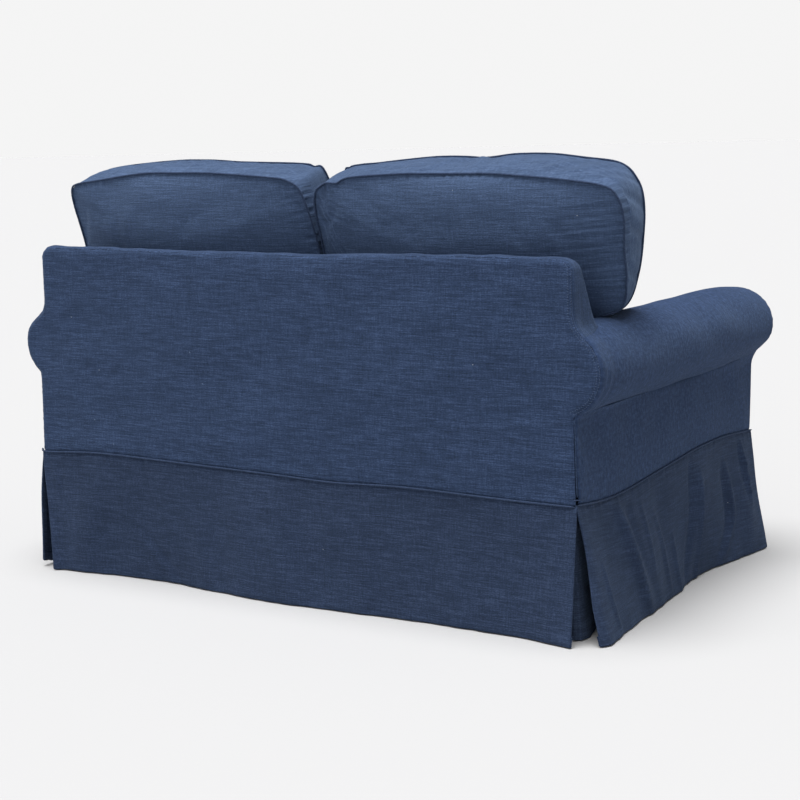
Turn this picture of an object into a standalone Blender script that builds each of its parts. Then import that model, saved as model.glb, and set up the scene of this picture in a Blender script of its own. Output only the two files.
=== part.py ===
"""Fitted skirted cover for a two-seat sofa with rolled arms, with its loose cushions.

X runs across the sofa, Y from the front (-) to the back (+), Z up from the floor.
Every cloth panel is a sheet whose outer face is modelled and whose thickness goes inwards.
"""

import math

import bmesh
import bpy
from mathutils import Vector

# Cloth and seams
CLOTH = 0.002
GAP = 0.0003  # between neighbouring pieces
BUTT = CLOTH + GAP  # from a covering panel's face to the panel that ends behind it
SEAM_CORD = 0.0028  # radius of the cord between body and skirt
CUSHION_CORD = 0.0036  # radius of the cushions' cords
CORD_GAP = 0.0006

# Body of the cover
HALF_WIDTH = 0.678
HALF_DEPTH = 0.4625
BACK_TOP = 0.760
BACK_CORNER = 0.028  # rounding of the back's two top corners
SEAM_HEIGHT = 0.279  # where the skirt begins
HEM_HEIGHT = 0.001
DECK_HEIGHT = 0.330
BACK_FULLNESS = 0.005  # how far the outside back stands out in its middle
BACK_RIPPLE = 0.0015
ARM_FULLNESS = 0.004
SLIT_START = 0.43  # height where the closure at one rear corner begins to gape
SLIT_OPENING = 0.006  # its width at the seam

# Rolled arms
ROLL_CENTRE_X = 0.642
ROLL_CENTRE_Z = 0.535
ROLL_RADIUS = 0.0875
INNER_ARM = ROLL_CENTRE_X - ROLL_RADIUS
ROLL_TOP = ROLL_CENTRE_Z + ROLL_RADIUS
ROLL_CREASE_TURN = math.acos((HALF_WIDTH - ROLL_CENTRE_X) / ROLL_RADIUS)
ROLL_CREASE = ROLL_CENTRE_Z - ROLL_RADIUS * math.sin(ROLL_CREASE_TURN)
ROLL_SHOULDER = ROLL_CENTRE_Z + ROLL_RADIUS * math.sin(ROLL_CREASE_TURN)
ROLL_CLEARANCE = 0.0014  # between the roll and the inside back that is cut round it
# Shallow drag folds across the roll: depth, how deep, half width
ROLL_FOLDS = ((0.40, 0.003, 0.03), (0.10, 0.001, 0.10), (-0.28, 0.0015, 0.10))

# Raked inside back: its front face leans, and is padded forwards in the middle
RAKE_TOP_Y = 0.424
RAKE_SLOPE = 0.48
RAKE_PADDING = 0.032
RAKED_BUTT = 0.0032  # as BUTT, but along Y, through the raked panel

# Loose back cushions lean back at a gentler angle than the frame
LEAN = math.radians(16)
CUSHION_Y = 0.3055  # rear seam plane at the height of the back's top
CUSHION_DEPTH = 0.130
REAR_CROWN = 0.068
FRONT_CROWN = 0.062
BOXING_BULGE = 0.006

# Seat cushions
SEAT_BOTTOM = DECK_HEIGHT + GAP
SEAT_LOWER_SEAM = SEAT_BOTTOM + 0.010
SEAT_UPPER_SEAM = 0.4872
SEAT_CROWN = 0.022
SEAT_FRONT = -0.446
SEAT_REAR = 0.205
SEAT_INNER = 0.008
SEAT_OUTER = 0.546
SEAT_CORNER = 0.045

# Height of the skirt seam along the back, left (+X) to right: across, height
SEAM_BACK = (
    (0.678, 0.279), (0.535, 0.287), (0.356, 0.285), (0.212, 0.282), (0.047, 0.279),
    (-0.111, 0.275), (-0.280, 0.280), (-0.529, 0.276), (-0.678, 0.275),
)
# Height of the skirt seam along the sides: depth, height
SEAM_SIDE = (
    (0.4625, 0.276), (0.400, 0.268), (0.309, 0.259), (0.211, 0.256), (0.084, 0.267),
    (-0.136, 0.278), (-0.346, 0.283), (-0.4625, 0.281),
)
# How far the hem stands out from the body, along the back: across, reach
HEM_BACK = (
    (0.678, 0.020), (0.649, 0.007), (0.572, -0.001), (0.466, -0.013), (0.378, -0.015),
    (0.212, 0.003), (0.052, 0.019), (-0.277, 0.008), (-0.530, 0.010), (-0.640, 0.025),
    (-0.678, 0.034),
)
# The same along the sides: depth, reach
HEM_SIDE = (
    (0.4625, 0.055), (0.440, 0.066), (0.350, 0.055), (0.247, 0.046), (0.071, 0.034),
    (-0.080, 0.015), (-0.150, 0.011), (-0.233, 0.016), (-0.370, 0.035), (-0.4625, 0.046),
)
# The same along the front: across, reach
HEM_FRONT = (
    (-0.678, 0.032), (-0.480, 0.012), (-0.250, 0.024), (0.000, 0.012), (0.260, 0.026),
    (0.470, 0.012), (0.678, 0.032),
)
# Soft vertical folds of the side skirts: depth at the seam, depth at the hem, height, half width
FOLDS_SIDE = (
    (0.300, 0.160, 0.010, 0.055),
    (0.090, 0.060, -0.007, 0.040),
    (-0.165, -0.075, 0.010, 0.040),
    (-0.290, -0.300, -0.006, 0.045),
    (-0.400, -0.385, 0.007, 0.030),
)
# The same along the back: across at the seam, across at the hem, height, half width
FOLDS_BACK = (
    (0.520, 0.600, 0.006, 0.040),
    (0.100, 0.060, 0.006, 0.070),
    (-0.420, -0.330, -0.004, 0.060),
)

# Path of the piece behind an open corner pleat, at its hem, from the back or front skirt to
# the side skirt: across, depth
INSERT_HEM = ((0.602, 0.438), (0.640, 0.444), (0.672, 0.436), (0.676, 0.405), (0.661, 0.345))
INSERT_TOP_REAR = 0.010  # below the seam
INSERT_TOP_FRONT = 0.006

# Outline of the right-hand back cushion, from its inner lower corner outwards and round.
# Columns: rear seam across and up, front seam across and up. "Across" is from the middle.
CUSHION_RIGHT = (
    (0.034, 0.498, 0.040, 0.510),
    (0.290, 0.496, 0.290, 0.510),
    (0.512, 0.499, 0.500, 0.511),
    (0.544, 0.530, 0.538, 0.542),
    (0.546, 0.590, 0.543, 0.590),
    (0.564, 0.628, 0.560, 0.626),
    (0.640, 0.638, 0.608, 0.630),
    (0.694, 0.654, 0.646, 0.657),
    (0.709, 0.700, 0.674, 0.706),
    (0.713, 0.765, 0.692, 0.772),
    (0.720, 0.828, 0.704, 0.845),
    (0.709, 0.872, 0.697, 0.896),
    (0.678, 0.889, 0.664, 0.929),
    (0.594, 0.900, 0.583, 0.940),
    (0.435, 0.912, 0.450, 0.951),
    (0.227, 0.912, 0.235, 0.946),
    (0.103, 0.905, 0.105, 0.936),
    (0.032, 0.892, 0.046, 0.924),
    (0.002, 0.858, 0.020, 0.885),
    (0.001, 0.750, 0.012, 0.750),
    (0.004, 0.620, 0.012, 0.620),
    (0.010, 0.535, 0.016, 0.535),
)
# Outline of the left-hand back cushion, whose outer top corner is pulled to a point
CUSHION_LEFT = (
    (0.046, 0.498, 0.050, 0.510),
    (0.290, 0.496, 0.290, 0.510),
    (0.512, 0.499, 0.500, 0.511),
    (0.544, 0.530, 0.538, 0.542),
    (0.546, 0.590, 0.543, 0.590),
    (0.564, 0.628, 0.560, 0.626),
    (0.632, 0.640, 0.608, 0.630),
    (0.668, 0.662, 0.646, 0.657),
    (0.676, 0.705, 0.672, 0.706),
    (0.678, 0.775, 0.688, 0.775),
    (0.681, 0.845, 0.696, 0.840),
    (0.680, 0.882, 0.698, 0.884),
    (0.662, 0.892, 0.684, 0.914),
    (0.590, 0.900, 0.625, 0.932),
    (0.459, 0.915, 0.457, 0.942),
    (0.260, 0.915, 0.270, 0.940),
    (0.105, 0.905, 0.120, 0.933),
    (0.060, 0.897, 0.066, 0.927),
    (0.032, 0.868, 0.042, 0.892),
    (0.022, 0.750, 0.026, 0.750),
    (0.019, 0.620, 0.024, 0.620),
    (0.022, 0.535, 0.028, 0.535),
)

# Steps of the meshes
RING_STEPS = 2  # points between two rows of a cushion's outline
CUSHION_RINGS = (1.0, 0.93, 0.80, 0.60, 0.32)
ROLL_STEPS = 20


def clear_scene():
    for obj in list(bpy.data.objects):
        bpy.data.objects.remove(obj, do_unlink=True)


def cloth_material(name, red, green, blue):
    """Matt linen-look cloth; the panels differ a little in shade."""
    material = bpy.data.materials.new(name)
    material.use_nodes = True
    shader = material.node_tree.nodes["Principled BSDF"]
    shader.inputs["Base Color"].default_value = (red, green, blue, 1.0)
    shader.inputs["Roughness"].default_value = 0.92
    shader.inputs["Metallic"].default_value = 0.0
    return material


def at(table, place, column=1):
    """One column of a table at a place along its first column, by a smooth cubic."""
    rows = sorted(table)
    place = min(max(place, rows[0][0]), rows[-1][0])
    last = len(rows) - 1
    k = next((i for i in range(last) if place <= rows[i + 1][0]), last - 1)
    before, low, high, after = rows[max(k - 1, 0)], rows[k], rows[k + 1], rows[min(k + 2, last)]
    span = high[0] - low[0]
    t = (place - low[0]) / span
    start = (high[column] - before[column]) / (high[0] - before[0]) * span
    end = (after[column] - low[column]) / (after[0] - low[0]) * span
    return (
        (2 * t**3 - 3 * t**2 + 1) * low[column]
        + (t**3 - 2 * t**2 + t) * start
        + (3 * t**2 - 2 * t**3) * high[column]
        + (t**3 - t**2) * end
    )


def spaced(low, high, steps):
    return [low + (high - low) * k / steps for k in range(steps + 1)]


def bell(offset, half_width):
    return math.exp(-((offset / half_width) ** 2))


def add_object(name, data, material):
    obj = bpy.data.objects.new(name, data)
    data.materials.append(material)
    bpy.context.scene.collection.objects.link(obj)
    return obj


def add_sheet(name, rows, material):
    """A cloth sheet from rows of points on its outer face.

    Seen from outside, a row runs to the right and the rows follow each other upwards.
    """
    mesh = bpy.data.meshes.new(name)
    bm = bmesh.new()
    grid = [[bm.verts.new(point) for point in row] for row in rows]
    for lower, upper in zip(grid, grid[1:]):
        for k in range(len(lower) - 1):
            bm.faces.new((lower[k], lower[k + 1], upper[k + 1], upper[k]))
    bm.to_mesh(mesh)
    bm.free()
    mesh.shade_smooth()
    obj = add_object(name, mesh, material)
    solidify = obj.modifiers.new("Cloth thickness", "SOLIDIFY")
    solidify.thickness = CLOTH
    solidify.offset = -1.0
    solidify.use_even_offset = True
    return obj


def add_flat_panel(name, outline, material):
    """A flat cloth panel from its outline, which runs anticlockwise seen from outside."""
    mesh = bpy.data.meshes.new(name)
    bm = bmesh.new()
    bm.faces.new([bm.verts.new(point) for point in outline])
    bm.to_mesh(mesh)
    bm.free()
    obj = add_object(name, mesh, material)
    solidify = obj.modifiers.new("Cloth thickness", "SOLIDIFY")
    solidify.thickness = CLOTH
    solidify.offset = -1.0
    return obj


def add_cord(name, points, radius, material, closed=False):
    """A round cord along a line of points."""
    curve = bpy.data.curves.new(name, "CURVE")
    curve.dimensions = "3D"
    curve.bevel_depth = radius
    curve.bevel_resolution = 1
    curve.use_fill_caps = not closed
    spline = curve.splines.new("POLY")
    spline.points.add(len(points) - 1)
    for control, point in zip(spline.points, points):
        control.co = (*point, 1.0)
    spline.use_cyclic_u = closed
    return add_object(name, curve, material)


# Body panels


def roll_reach(height, radius=ROLL_RADIUS):
    """How far the roll reaches to each side of its centre at a height, or None past it."""
    rise = height - ROLL_CENTRE_Z
    return math.sqrt(radius**2 - rise**2) if abs(rise) < radius else None


def back_half_width(height):
    """The outside back's outline, which takes in the roll ends and rounded top corners."""
    reach = roll_reach(height)
    side = HALF_WIDTH if reach is None else max(HALF_WIDTH, ROLL_CENTRE_X + reach)
    into_corner = height - (BACK_TOP - BACK_CORNER)
    if into_corner > 0:
        side -= BACK_CORNER - math.sqrt(max(BACK_CORNER**2 - into_corner**2, 0.0))
    return side


def rake_y(height):
    """Depth of the inside back's face at its edges."""
    return RAKE_TOP_Y - RAKE_SLOPE * (BACK_TOP - height)


def make_outside_back(material):
    heights = [SEAM_HEIGHT, 0.33, 0.39, ROLL_CREASE, ROLL_SHOULDER, 0.68, BACK_TOP - BACK_CORNER]
    for turn in range(-60, 60, 15):
        heights.append(ROLL_CENTRE_Z + ROLL_RADIUS * math.sin(math.radians(turn)))
    for turn in (25, 50, 70, 90):
        heights.append(BACK_TOP - BACK_CORNER * (1 - math.sin(math.radians(turn))))
    rows = []
    for height in sorted(heights):
        half = back_half_width(height)
        row = []
        for share in spaced(1.0, -1.0, 18):
            x = share * half
            lift = (at(SEAM_BACK, x) + GAP - SEAM_HEIGHT) if height == SEAM_HEIGHT else 0.0
            up = (height - SEAM_HEIGHT) / (BACK_TOP - SEAM_HEIGHT)
            fullness = (1 - share**2) * math.sin(math.pi * up)
            out = fullness * (BACK_FULLNESS + BACK_RIPPLE * math.sin(9 * x + 20 * height))
            row.append((x, HALF_DEPTH + out, height + lift))
        rows.append(row)
    return add_sheet("outside_back", rows, material)


def make_back_boxing(material):
    """The strip up one side of the back frame, across its top and down the other side."""
    outer = HALF_WIDTH
    arc = [math.radians(a) for a in (0, 30, 60, 90)]
    inset = outer - BACK_CORNER
    low = ROLL_TOP + 0.006
    path = [(-outer, z) for z in spaced(low, BACK_TOP - BACK_CORNER, 3)[:-1]]
    path += [
        (-inset - BACK_CORNER * math.cos(a), BACK_TOP - BACK_CORNER * (1 - math.sin(a))) for a in arc
    ]
    path += [(x, BACK_TOP) for x in spaced(-inset, inset, 12)[1:-1]]
    path += [(-x, z) for x, z in reversed(path[: len(arc) + 3])]
    rows = []
    for share in (0.0, 0.5, 1.0):
        row = []
        for x, z in path:
            front = rake_y(z) + RAKED_BUTT
            y = front + share * (HALF_DEPTH - BUTT - front)
            row.append((x, y, z))
        rows.append(row)
    return add_sheet("back_boxing", rows, material)


def make_inside_back(material):
    """The raked panel between the arms, which widens above them."""
    clear = ROLL_RADIUS + ROLL_CLEARANCE
    rows = []
    low = DECK_HEIGHT + GAP
    heights = [low, 0.40, 0.47]
    for turn in (0, 15, 30, 45, 60, 75, 87):
        heights.append(ROLL_CENTRE_Z + clear * math.sin(math.radians(turn)))
    heights.append(ROLL_TOP + 0.010)
    heights += [0.66, 0.70, BACK_TOP - BACK_CORNER, BACK_TOP - 0.010, BACK_TOP]
    for height in heights:
        reach = roll_reach(height, clear)
        if height < ROLL_CENTRE_Z:
            half = ROLL_CENTRE_X - clear
        elif reach is not None:
            half = ROLL_CENTRE_X - reach
        else:
            half = back_half_width(height)
        row = []
        for share in spaced(-1.0, 1.0, 14):
            up = (height - low) / (BACK_TOP - low)
            padding = RAKE_PADDING * (1 - share**4) * math.sin(math.pi * up) ** 0.8
            row.append((share * half, rake_y(height) - padding, height))
        rows.append(row)
    return add_sheet("inside_back", rows, material)


def roll_outline():
    """Across and up from the crease under the roll, out and over the top to the inner side."""
    return [
        (ROLL_CENTRE_X + ROLL_RADIUS * math.cos(a), ROLL_CENTRE_Z + ROLL_RADIUS * math.sin(a))
        for a in spaced(-ROLL_CREASE_TURN, math.pi, ROLL_STEPS)
    ]


def roll_profile():
    """Across and up from the crease under the roll, out, over the top and down inside."""
    return roll_outline() + [(INNER_ARM, z) for z in (0.47, 0.40, DECK_HEIGHT + GAP)]


def make_arm(name, side, material):
    """The arm panel, with shallow drag folds across the roll near its two ends."""
    end = HALF_DEPTH - BUTT
    depths = [-end, -0.40, -0.28, -0.14, 0.0, 0.14, 0.26, 0.35, 0.40, 0.43, end]
    rows = []
    profile = roll_profile()
    for k, (across, up) in enumerate(profile):
        slack = math.sin(math.pi * min(k / ROLL_STEPS, 1.0))
        row = []
        for y in depths:
            dip = sum(depth * bell(y - place, width) for place, depth, width in ROLL_FOLDS)
            x = across - slack * dip * (across - ROLL_CENTRE_X) / ROLL_RADIUS
            z = up - slack * dip * (up - ROLL_CENTRE_Z) / ROLL_RADIUS
            row.append((side * x, y, z))
        rows.append(row if side > 0 else row[::-1])
    return add_sheet(name, rows, material)


def slit_width(height, opening):
    """How far the outside arm's rear edge stands back, where the closure gapes."""
    down = min(max((SLIT_START - height) / (SLIT_START - SEAM_HEIGHT), 0.0), 1.0)
    return opening * down**1.5


def make_outside_arm(name, side, opening, material):
    end = HALF_DEPTH - BUTT
    rows = []
    top = ROLL_CREASE - 2 * GAP
    for up in spaced(0.0, 1.0, 4):
        row = []
        for share in spaced(0.0, 1.0, 12):
            rear = end - slit_width(SEAM_HEIGHT + up * (top - SEAM_HEIGHT), opening)
            y = -end + share * (rear + end)
            bottom = at(SEAM_SIDE, y) + GAP
            fullness = math.sin(math.pi * share) * math.sin(math.pi * up)
            x = side * (HALF_WIDTH + ARM_FULLNESS * fullness)
            row.append((x, y, bottom + up * (top - bottom)))
        rows.append(row if side > 0 else row[::-1])
    return add_sheet(name, rows, material)


def make_arm_front(name, side, material):
    """The flat panel that closes the arm's front, with the roll's outline on top."""
    bottom = SEAM_SIDE[-1][1] + GAP
    outline = [(INNER_ARM, bottom), (HALF_WIDTH, bottom), *roll_outline()]
    points = [(side * x, -HALF_DEPTH, z) for x, z in outline]
    return add_flat_panel(name, points if side > 0 else points[::-1], material)


def make_seat_deck(material):
    half = INNER_ARM - GAP
    front = -HALF_DEPTH + BUTT
    rear = rake_y(DECK_HEIGHT) - 2 * GAP
    outline = [(-half, front), (half, front), (half, rear), (-half, rear)]
    return add_flat_panel("seat_deck", [(x, y, DECK_HEIGHT) for x, y in outline], material)


def make_front_band(material):
    half = INNER_ARM - GAP
    bottom = SEAM_SIDE[-1][1] + GAP
    outline = [(-half, bottom), (half, bottom), (half, DECK_HEIGHT), (-half, DECK_HEIGHT)]
    return add_flat_panel("front_band", [(x, -HALF_DEPTH, z) for x, z in outline], material)


# Skirt: each panel hangs from the seam and stands out towards its hem


def fold_height(folds, place, down):
    """Sum of the soft folds at a place; each runs from its place at the seam to the hem."""
    total = 0.0
    for at_seam, at_hem, height, half_width in folds:
        crest = at_seam + (at_hem - at_seam) * down
        total += height * math.sin(math.pi * min(down, 1.0)) ** 0.8 * bell(place - crest, half_width)
    return total


def skirt_rows(low, high, seam, hem, folds, steps, place_point):
    """Rows from the hem up; place_point turns (place, reach, height) into a point."""
    rows = []
    for down in spaced(1.0, 0.0, 6):
        row = []
        for place in spaced(low, high, steps):
            top = at(seam, place) - 2 * GAP
            reach = at(hem, place) * down**1.15 + fold_height(folds, place, down)
            row.append(place_point(place, reach, HEM_HEIGHT + (top - HEM_HEIGHT) * (1.0 - down)))
        rows.append(row)
    return rows


def make_skirts(material):
    end = HALF_WIDTH
    front_seam = ((-end, SEAM_SIDE[-1][1]), (0.0, SEAM_SIDE[-1][1]), (end, SEAM_SIDE[-1][1]))
    back = skirt_rows(
        end, -end, SEAM_BACK, HEM_BACK, FOLDS_BACK, 34, lambda x, out, z: (x, HALF_DEPTH + out, z)
    )
    add_sheet("skirt_back", back, material)
    front = skirt_rows(
        -end, end, front_seam, HEM_FRONT, (), 24, lambda x, out, z: (x, -HALF_DEPTH - out, z)
    )
    add_sheet("skirt_front", front, material)
    side_end = HALF_DEPTH - BUTT
    for name, side in (("skirt_left", 1), ("skirt_right", -1)):
        rows = skirt_rows(
            -side * side_end, side * side_end, SEAM_SIDE, HEM_SIDE, FOLDS_SIDE, 28,
            lambda y, out, z, side=side: (side * (HALF_WIDTH + out), y, z),
        )
        add_sheet(name, rows, material)


def make_pleat_insert(name, side, end, material):
    """The folded piece behind an open corner pleat: behind one skirt, round, behind the other."""
    top_z = SEAM_SIDE[0][1] - INSERT_TOP_REAR if end > 0 else SEAM_SIDE[-1][1] - INSERT_TOP_FRONT
    behind_y = HALF_DEPTH - CLOTH - 2 * GAP
    behind_x = HALF_WIDTH - CLOTH - 2 * GAP
    seam = [(x, behind_y) for x in (0.606, 0.640, behind_x)]
    seam += [(behind_x, y) for y in (0.430, 0.392)]
    rows = []
    for up in spaced(0.0, 1.0, 4):
        row = []
        for (x0, y0), (x1, y1) in zip(INSERT_HEM, seam):
            x, y = x0 + (x1 - x0) * up, y0 + (y1 - y0) * up
            row.append((side * x, end * y, HEM_HEIGHT + (top_z - HEM_HEIGHT) * up))
        rows.append(row[::-1] if side * end > 0 else row)
    return add_sheet(name, rows, material)


def make_seam_cords(material):
    """The covered cord in the seam between body and skirt, one length to a side."""
    out = HALF_DEPTH + SEAM_CORD + GAP
    across = HALF_WIDTH + SEAM_CORD + GAP
    front_z = SEAM_SIDE[-1][1]
    back = [(x, out, at(SEAM_BACK, x)) for x in spaced(0.6835, -0.676, 16)]
    add_cord("welt_back", back, SEAM_CORD, material)
    front = [(x, -out, front_z) for x in spaced(-0.6775, 0.6775, 8)]
    add_cord("welt_front", front, SEAM_CORD, material)
    for name, side in (("welt_left", 1), ("welt_right", -1)):
        points = [(side * across, y, at(SEAM_SIDE, y)) for y in spaced(-0.468, 0.4615, 14)]
        add_cord(name, points, SEAM_CORD, material)


# Cushions


def smooth_ring(table, steps):
    """Points round a closed outline, by a smooth curve through the table's rows."""
    count = len(table)
    ring = []
    for k in range(count):
        p0, p1, p2, p3 = (table[(k + j) % count] for j in (-1, 0, 1, 2))
        for step in range(steps):
            t = step / steps
            ring.append([
                b + (c - a) * t / 2
                + (2 * a - 5 * b + 4 * c - d) * t**2 / 2
                + (3 * b - a - 3 * c + d) * t**3 / 2
                for a, b, c, d in zip(p0, p1, p2, p3)
            ])
    return ring


def ring_normals(ring, axis):
    """The direction outwards from a closed ring at each of its points, square to axis."""
    count = len(ring)
    area = sum((ring[k - 1].cross(ring[k]) for k in range(count)), Vector())
    turn = 1.0 if area.dot(axis) > 0 else -1.0
    return [
        (ring[(k + 1) % count] - ring[k - 1]).cross(axis).normalized() * turn for k in range(count)
    ]


def add_cushion(name, near, far, near_crown, far_crown, material):
    """A filled cushion between two seam rings, each face crowned by its own function.

    near and far are rings of points; a crown takes a ring's share and returns an offset.
    """
    mesh = bpy.data.meshes.new(name)
    bm = bmesh.new()
    count = len(near)
    middles = [sum(ring, Vector()) / count for ring in (near, far)]
    faces_of = []
    for ring, middle, crown in ((near, middles[0], near_crown), (far, middles[1], far_crown)):
        mean = sum((point - middle).length for point in ring) / count
        loops = []
        for share in CUSHION_RINGS:
            roundness = 1 - share
            loops.append([
                bm.verts.new(
                    middle + crown(share)
                    + share * (point - middle).lerp((point - middle).normalized() * mean, roundness)
                )
                for point in ring
            ])
        faces_of.append((loops, bm.verts.new(middle + crown(0.0))))
    halfway = [(a + b) / 2 for a, b in zip(near, far)]
    normals = ring_normals(halfway, middles[0] - middles[1])
    boxing = [bm.verts.new(point + out * BOXING_BULGE) for point, out in zip(halfway, normals)]
    for loops, centre in faces_of:
        for outer, inner in zip(loops, loops[1:]):
            for k in range(count):
                j = (k + 1) % count
                bm.faces.new((outer[k], outer[j], inner[j], inner[k]))
        for k in range(count):
            bm.faces.new((loops[-1][k], loops[-1][(k + 1) % count], centre))
    for first, second in ((faces_of[0][0][0], boxing), (boxing, faces_of[1][0][0])):
        for k in range(count):
            j = (k + 1) % count
            bm.faces.new((first[k], first[j], second[j], second[k]))
    bmesh.ops.recalc_face_normals(bm, faces=bm.faces)
    bm.to_mesh(mesh)
    bm.free()
    mesh.shade_smooth()
    mesh.set_sharp_from_angle(angle=math.radians(50))
    return add_object(name, mesh, material)


def cord_ring(ring, axis):
    """The line of a cord sewn outside a seam ring, on the side that axis points to."""
    offset = CUSHION_CORD + CORD_GAP
    return [
        point + (out + axis).normalized() * offset
        for point, out in zip(ring, ring_normals(ring, axis))
    ]


def lean_point(across, height, offset):
    """A point on the leaning plane that lies offset in front of the rear seam plane."""
    y = CUSHION_Y - offset / math.cos(LEAN) + (height - BACK_TOP) * math.tan(LEAN)
    return Vector((across, y, height))


def make_back_cushion(name, side, table, material, cord_material):
    ring = smooth_ring(table, RING_STEPS)
    rear = [lean_point(side * row[0], row[1], 0.0) for row in ring]
    front = [lean_point(side * row[2], row[3], CUSHION_DEPTH) for row in ring]
    backwards = Vector((0.0, math.cos(LEAN), -math.sin(LEAN)))
    add_cushion(
        name, rear, front,
        lambda share: backwards * REAR_CROWN * (1 - share**2.4),
        lambda share: -backwards * FRONT_CROWN * (1 - share**2.4),
        material,
    )
    add_cord(f"{name}_rear_welt", cord_ring(rear, backwards), CUSHION_CORD, cord_material, True)
    add_cord(f"{name}_front_welt", cord_ring(front, -backwards), CUSHION_CORD, cord_material, True)


def seat_ring(side, height):
    """A rectangle with rounded corners, and points along its straight sides."""
    corners = (
        (SEAT_OUTER, SEAT_FRONT, -90), (SEAT_OUTER, SEAT_REAR, 0),
        (SEAT_INNER, SEAT_REAR, 90), (SEAT_INNER, SEAT_FRONT, 180),
    )
    points = []
    for corner_x, corner_y, start in corners:
        centre_x = corner_x + (SEAT_CORNER if corner_x == SEAT_INNER else -SEAT_CORNER)
        centre_y = corner_y + (SEAT_CORNER if corner_y == SEAT_FRONT else -SEAT_CORNER)
        for angle in (0, 30, 60, 90):
            a = math.radians(start + angle)
            x = centre_x + SEAT_CORNER * math.cos(a)
            y = centre_y + SEAT_CORNER * math.sin(a)
            points.append((x, y))
    ring = []
    for k, (x, y) in enumerate(points):
        next_x, next_y = points[(k + 1) % len(points)]
        steps = 5 if math.hypot(next_x - x, next_y - y) > 2 * SEAT_CORNER else 1
        for step in range(steps):
            t = step / steps
            ring.append(Vector((side * (x + (next_x - x) * t), y + (next_y - y) * t, height)))
    return ring


def make_seat_cushion(name, side, material, cord_material):
    """A plain boxed cushion, crowned on top and flat where it lies on the deck."""
    up = Vector((0.0, 0.0, 1.0))
    lower = seat_ring(side, SEAT_LOWER_SEAM)
    upper = seat_ring(side, SEAT_UPPER_SEAM)
    drop = SEAT_LOWER_SEAM - SEAT_BOTTOM
    add_cushion(
        name, lower, upper,
        lambda share: -up * drop * min((1 - share) / 0.05, 1.0),
        lambda share: up * SEAT_CROWN * (1 - share**3.0),
        material,
    )
    add_cord(f"{name}_lower_welt", cord_ring(lower, -up), CUSHION_CORD, cord_material, True)
    add_cord(f"{name}_upper_welt", cord_ring(upper, up), CUSHION_CORD, cord_material, True)


def main():
    clear_scene()
    body = cloth_material("body_cloth", 0.042, 0.070, 0.150)
    skirt = cloth_material("skirt_cloth", 0.032, 0.055, 0.110)
    cushion = cloth_material("cushion_cloth", 0.048, 0.078, 0.160)
    cord = cloth_material("cord_cloth", 0.020, 0.034, 0.078)

    make_outside_back(body)
    make_back_boxing(body)
    make_inside_back(body)
    for word, side in (("left", 1), ("right", -1)):
        make_arm(f"arm_{word}", side, body)
        make_outside_arm(f"outside_arm_{word}", side, SLIT_OPENING if side < 0 else 0.0, body)
        make_arm_front(f"arm_front_{word}", side, body)
    make_seat_deck(body)
    make_front_band(body)

    make_skirts(skirt)
    make_seam_cords(cord)
    for word, side in (("left", 1), ("right", -1)):
        for place, end in (("rear", 1), ("front", -1)):
            make_pleat_insert(f"pleat_insert_{place}_{word}", side, end, skirt)

    make_back_cushion("back_cushion_left", 1, CUSHION_LEFT, cushion, cord)
    make_back_cushion("back_cushion_right", -1, CUSHION_RIGHT, cushion, cord)
    make_seat_cushion("seat_cushion_left", 1, cushion, cord)
    make_seat_cushion("seat_cushion_right", -1, cushion, cord)


main()
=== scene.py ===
# Fitted loveseat cover with loose cushions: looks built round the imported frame.
# Metres, +Z up, the sofa's outside back at +Y, a sitter's left at +X.
import math

import bpy
import numpy as np
from mathutils import Matrix, Vector
from mathutils.bvhtree import BVHTree
from mathutils.kdtree import KDTree


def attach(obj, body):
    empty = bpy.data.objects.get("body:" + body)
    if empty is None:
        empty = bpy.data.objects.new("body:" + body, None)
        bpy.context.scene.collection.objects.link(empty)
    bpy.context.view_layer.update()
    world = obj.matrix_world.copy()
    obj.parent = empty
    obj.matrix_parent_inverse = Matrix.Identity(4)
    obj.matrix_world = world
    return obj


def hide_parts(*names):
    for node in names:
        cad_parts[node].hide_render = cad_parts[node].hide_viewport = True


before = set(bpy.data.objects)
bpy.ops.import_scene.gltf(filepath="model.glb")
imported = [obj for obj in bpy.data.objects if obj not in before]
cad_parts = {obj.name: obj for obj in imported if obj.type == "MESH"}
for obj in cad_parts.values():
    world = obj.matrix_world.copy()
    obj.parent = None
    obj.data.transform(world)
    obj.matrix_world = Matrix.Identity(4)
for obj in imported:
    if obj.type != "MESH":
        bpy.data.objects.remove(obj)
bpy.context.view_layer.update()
print("frame loaded with", len(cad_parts), "nodes")


# Camera, floor and light

camera = {
    "place": (-2.2227, 3.5504, 1.0283),
    "turn": 32.1,  # degrees towards +X from looking along -Y
    "tilt": 8.85,  # degrees downwards
    "roll": -1.35,
    "lens": 81.7,
    "reach": 60,
}


def addCamera():
    turn, tilt, roll = (math.radians(camera[word]) for word in ("turn", "tilt", "roll"))
    ahead = Vector((
        math.sin(turn) * math.cos(tilt), -math.cos(turn) * math.cos(tilt), -math.sin(tilt)
    ))
    level = ahead.cross(Vector((0, 0, 1))).normalized()
    upright = level.cross(ahead)
    right = level * math.cos(roll) + upright * math.sin(roll)
    up = upright * math.cos(roll) - level * math.sin(roll)
    bpy.ops.object.camera_add(location=camera["place"])
    view = bpy.context.object
    view.name = "studioCamera"
    view.rotation_euler = Matrix((right, up, -ahead)).transposed().to_euler()
    view.data.lens = camera["lens"]
    view.data.clip_end = camera["reach"]
    bpy.context.scene.camera = view


def wire(tree, node, given):  # each input gets a value, or a link from another node's output
    for word, value in given.items():
        if isinstance(value, bpy.types.NodeSocket):
            tree.links.new(value, node.inputs[word])
        else:
            node.inputs[word].default_value = value
    return node


def addNode(tree, kind, given):
    return wire(tree, tree.nodes.new("ShaderNode" + kind), given)


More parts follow.
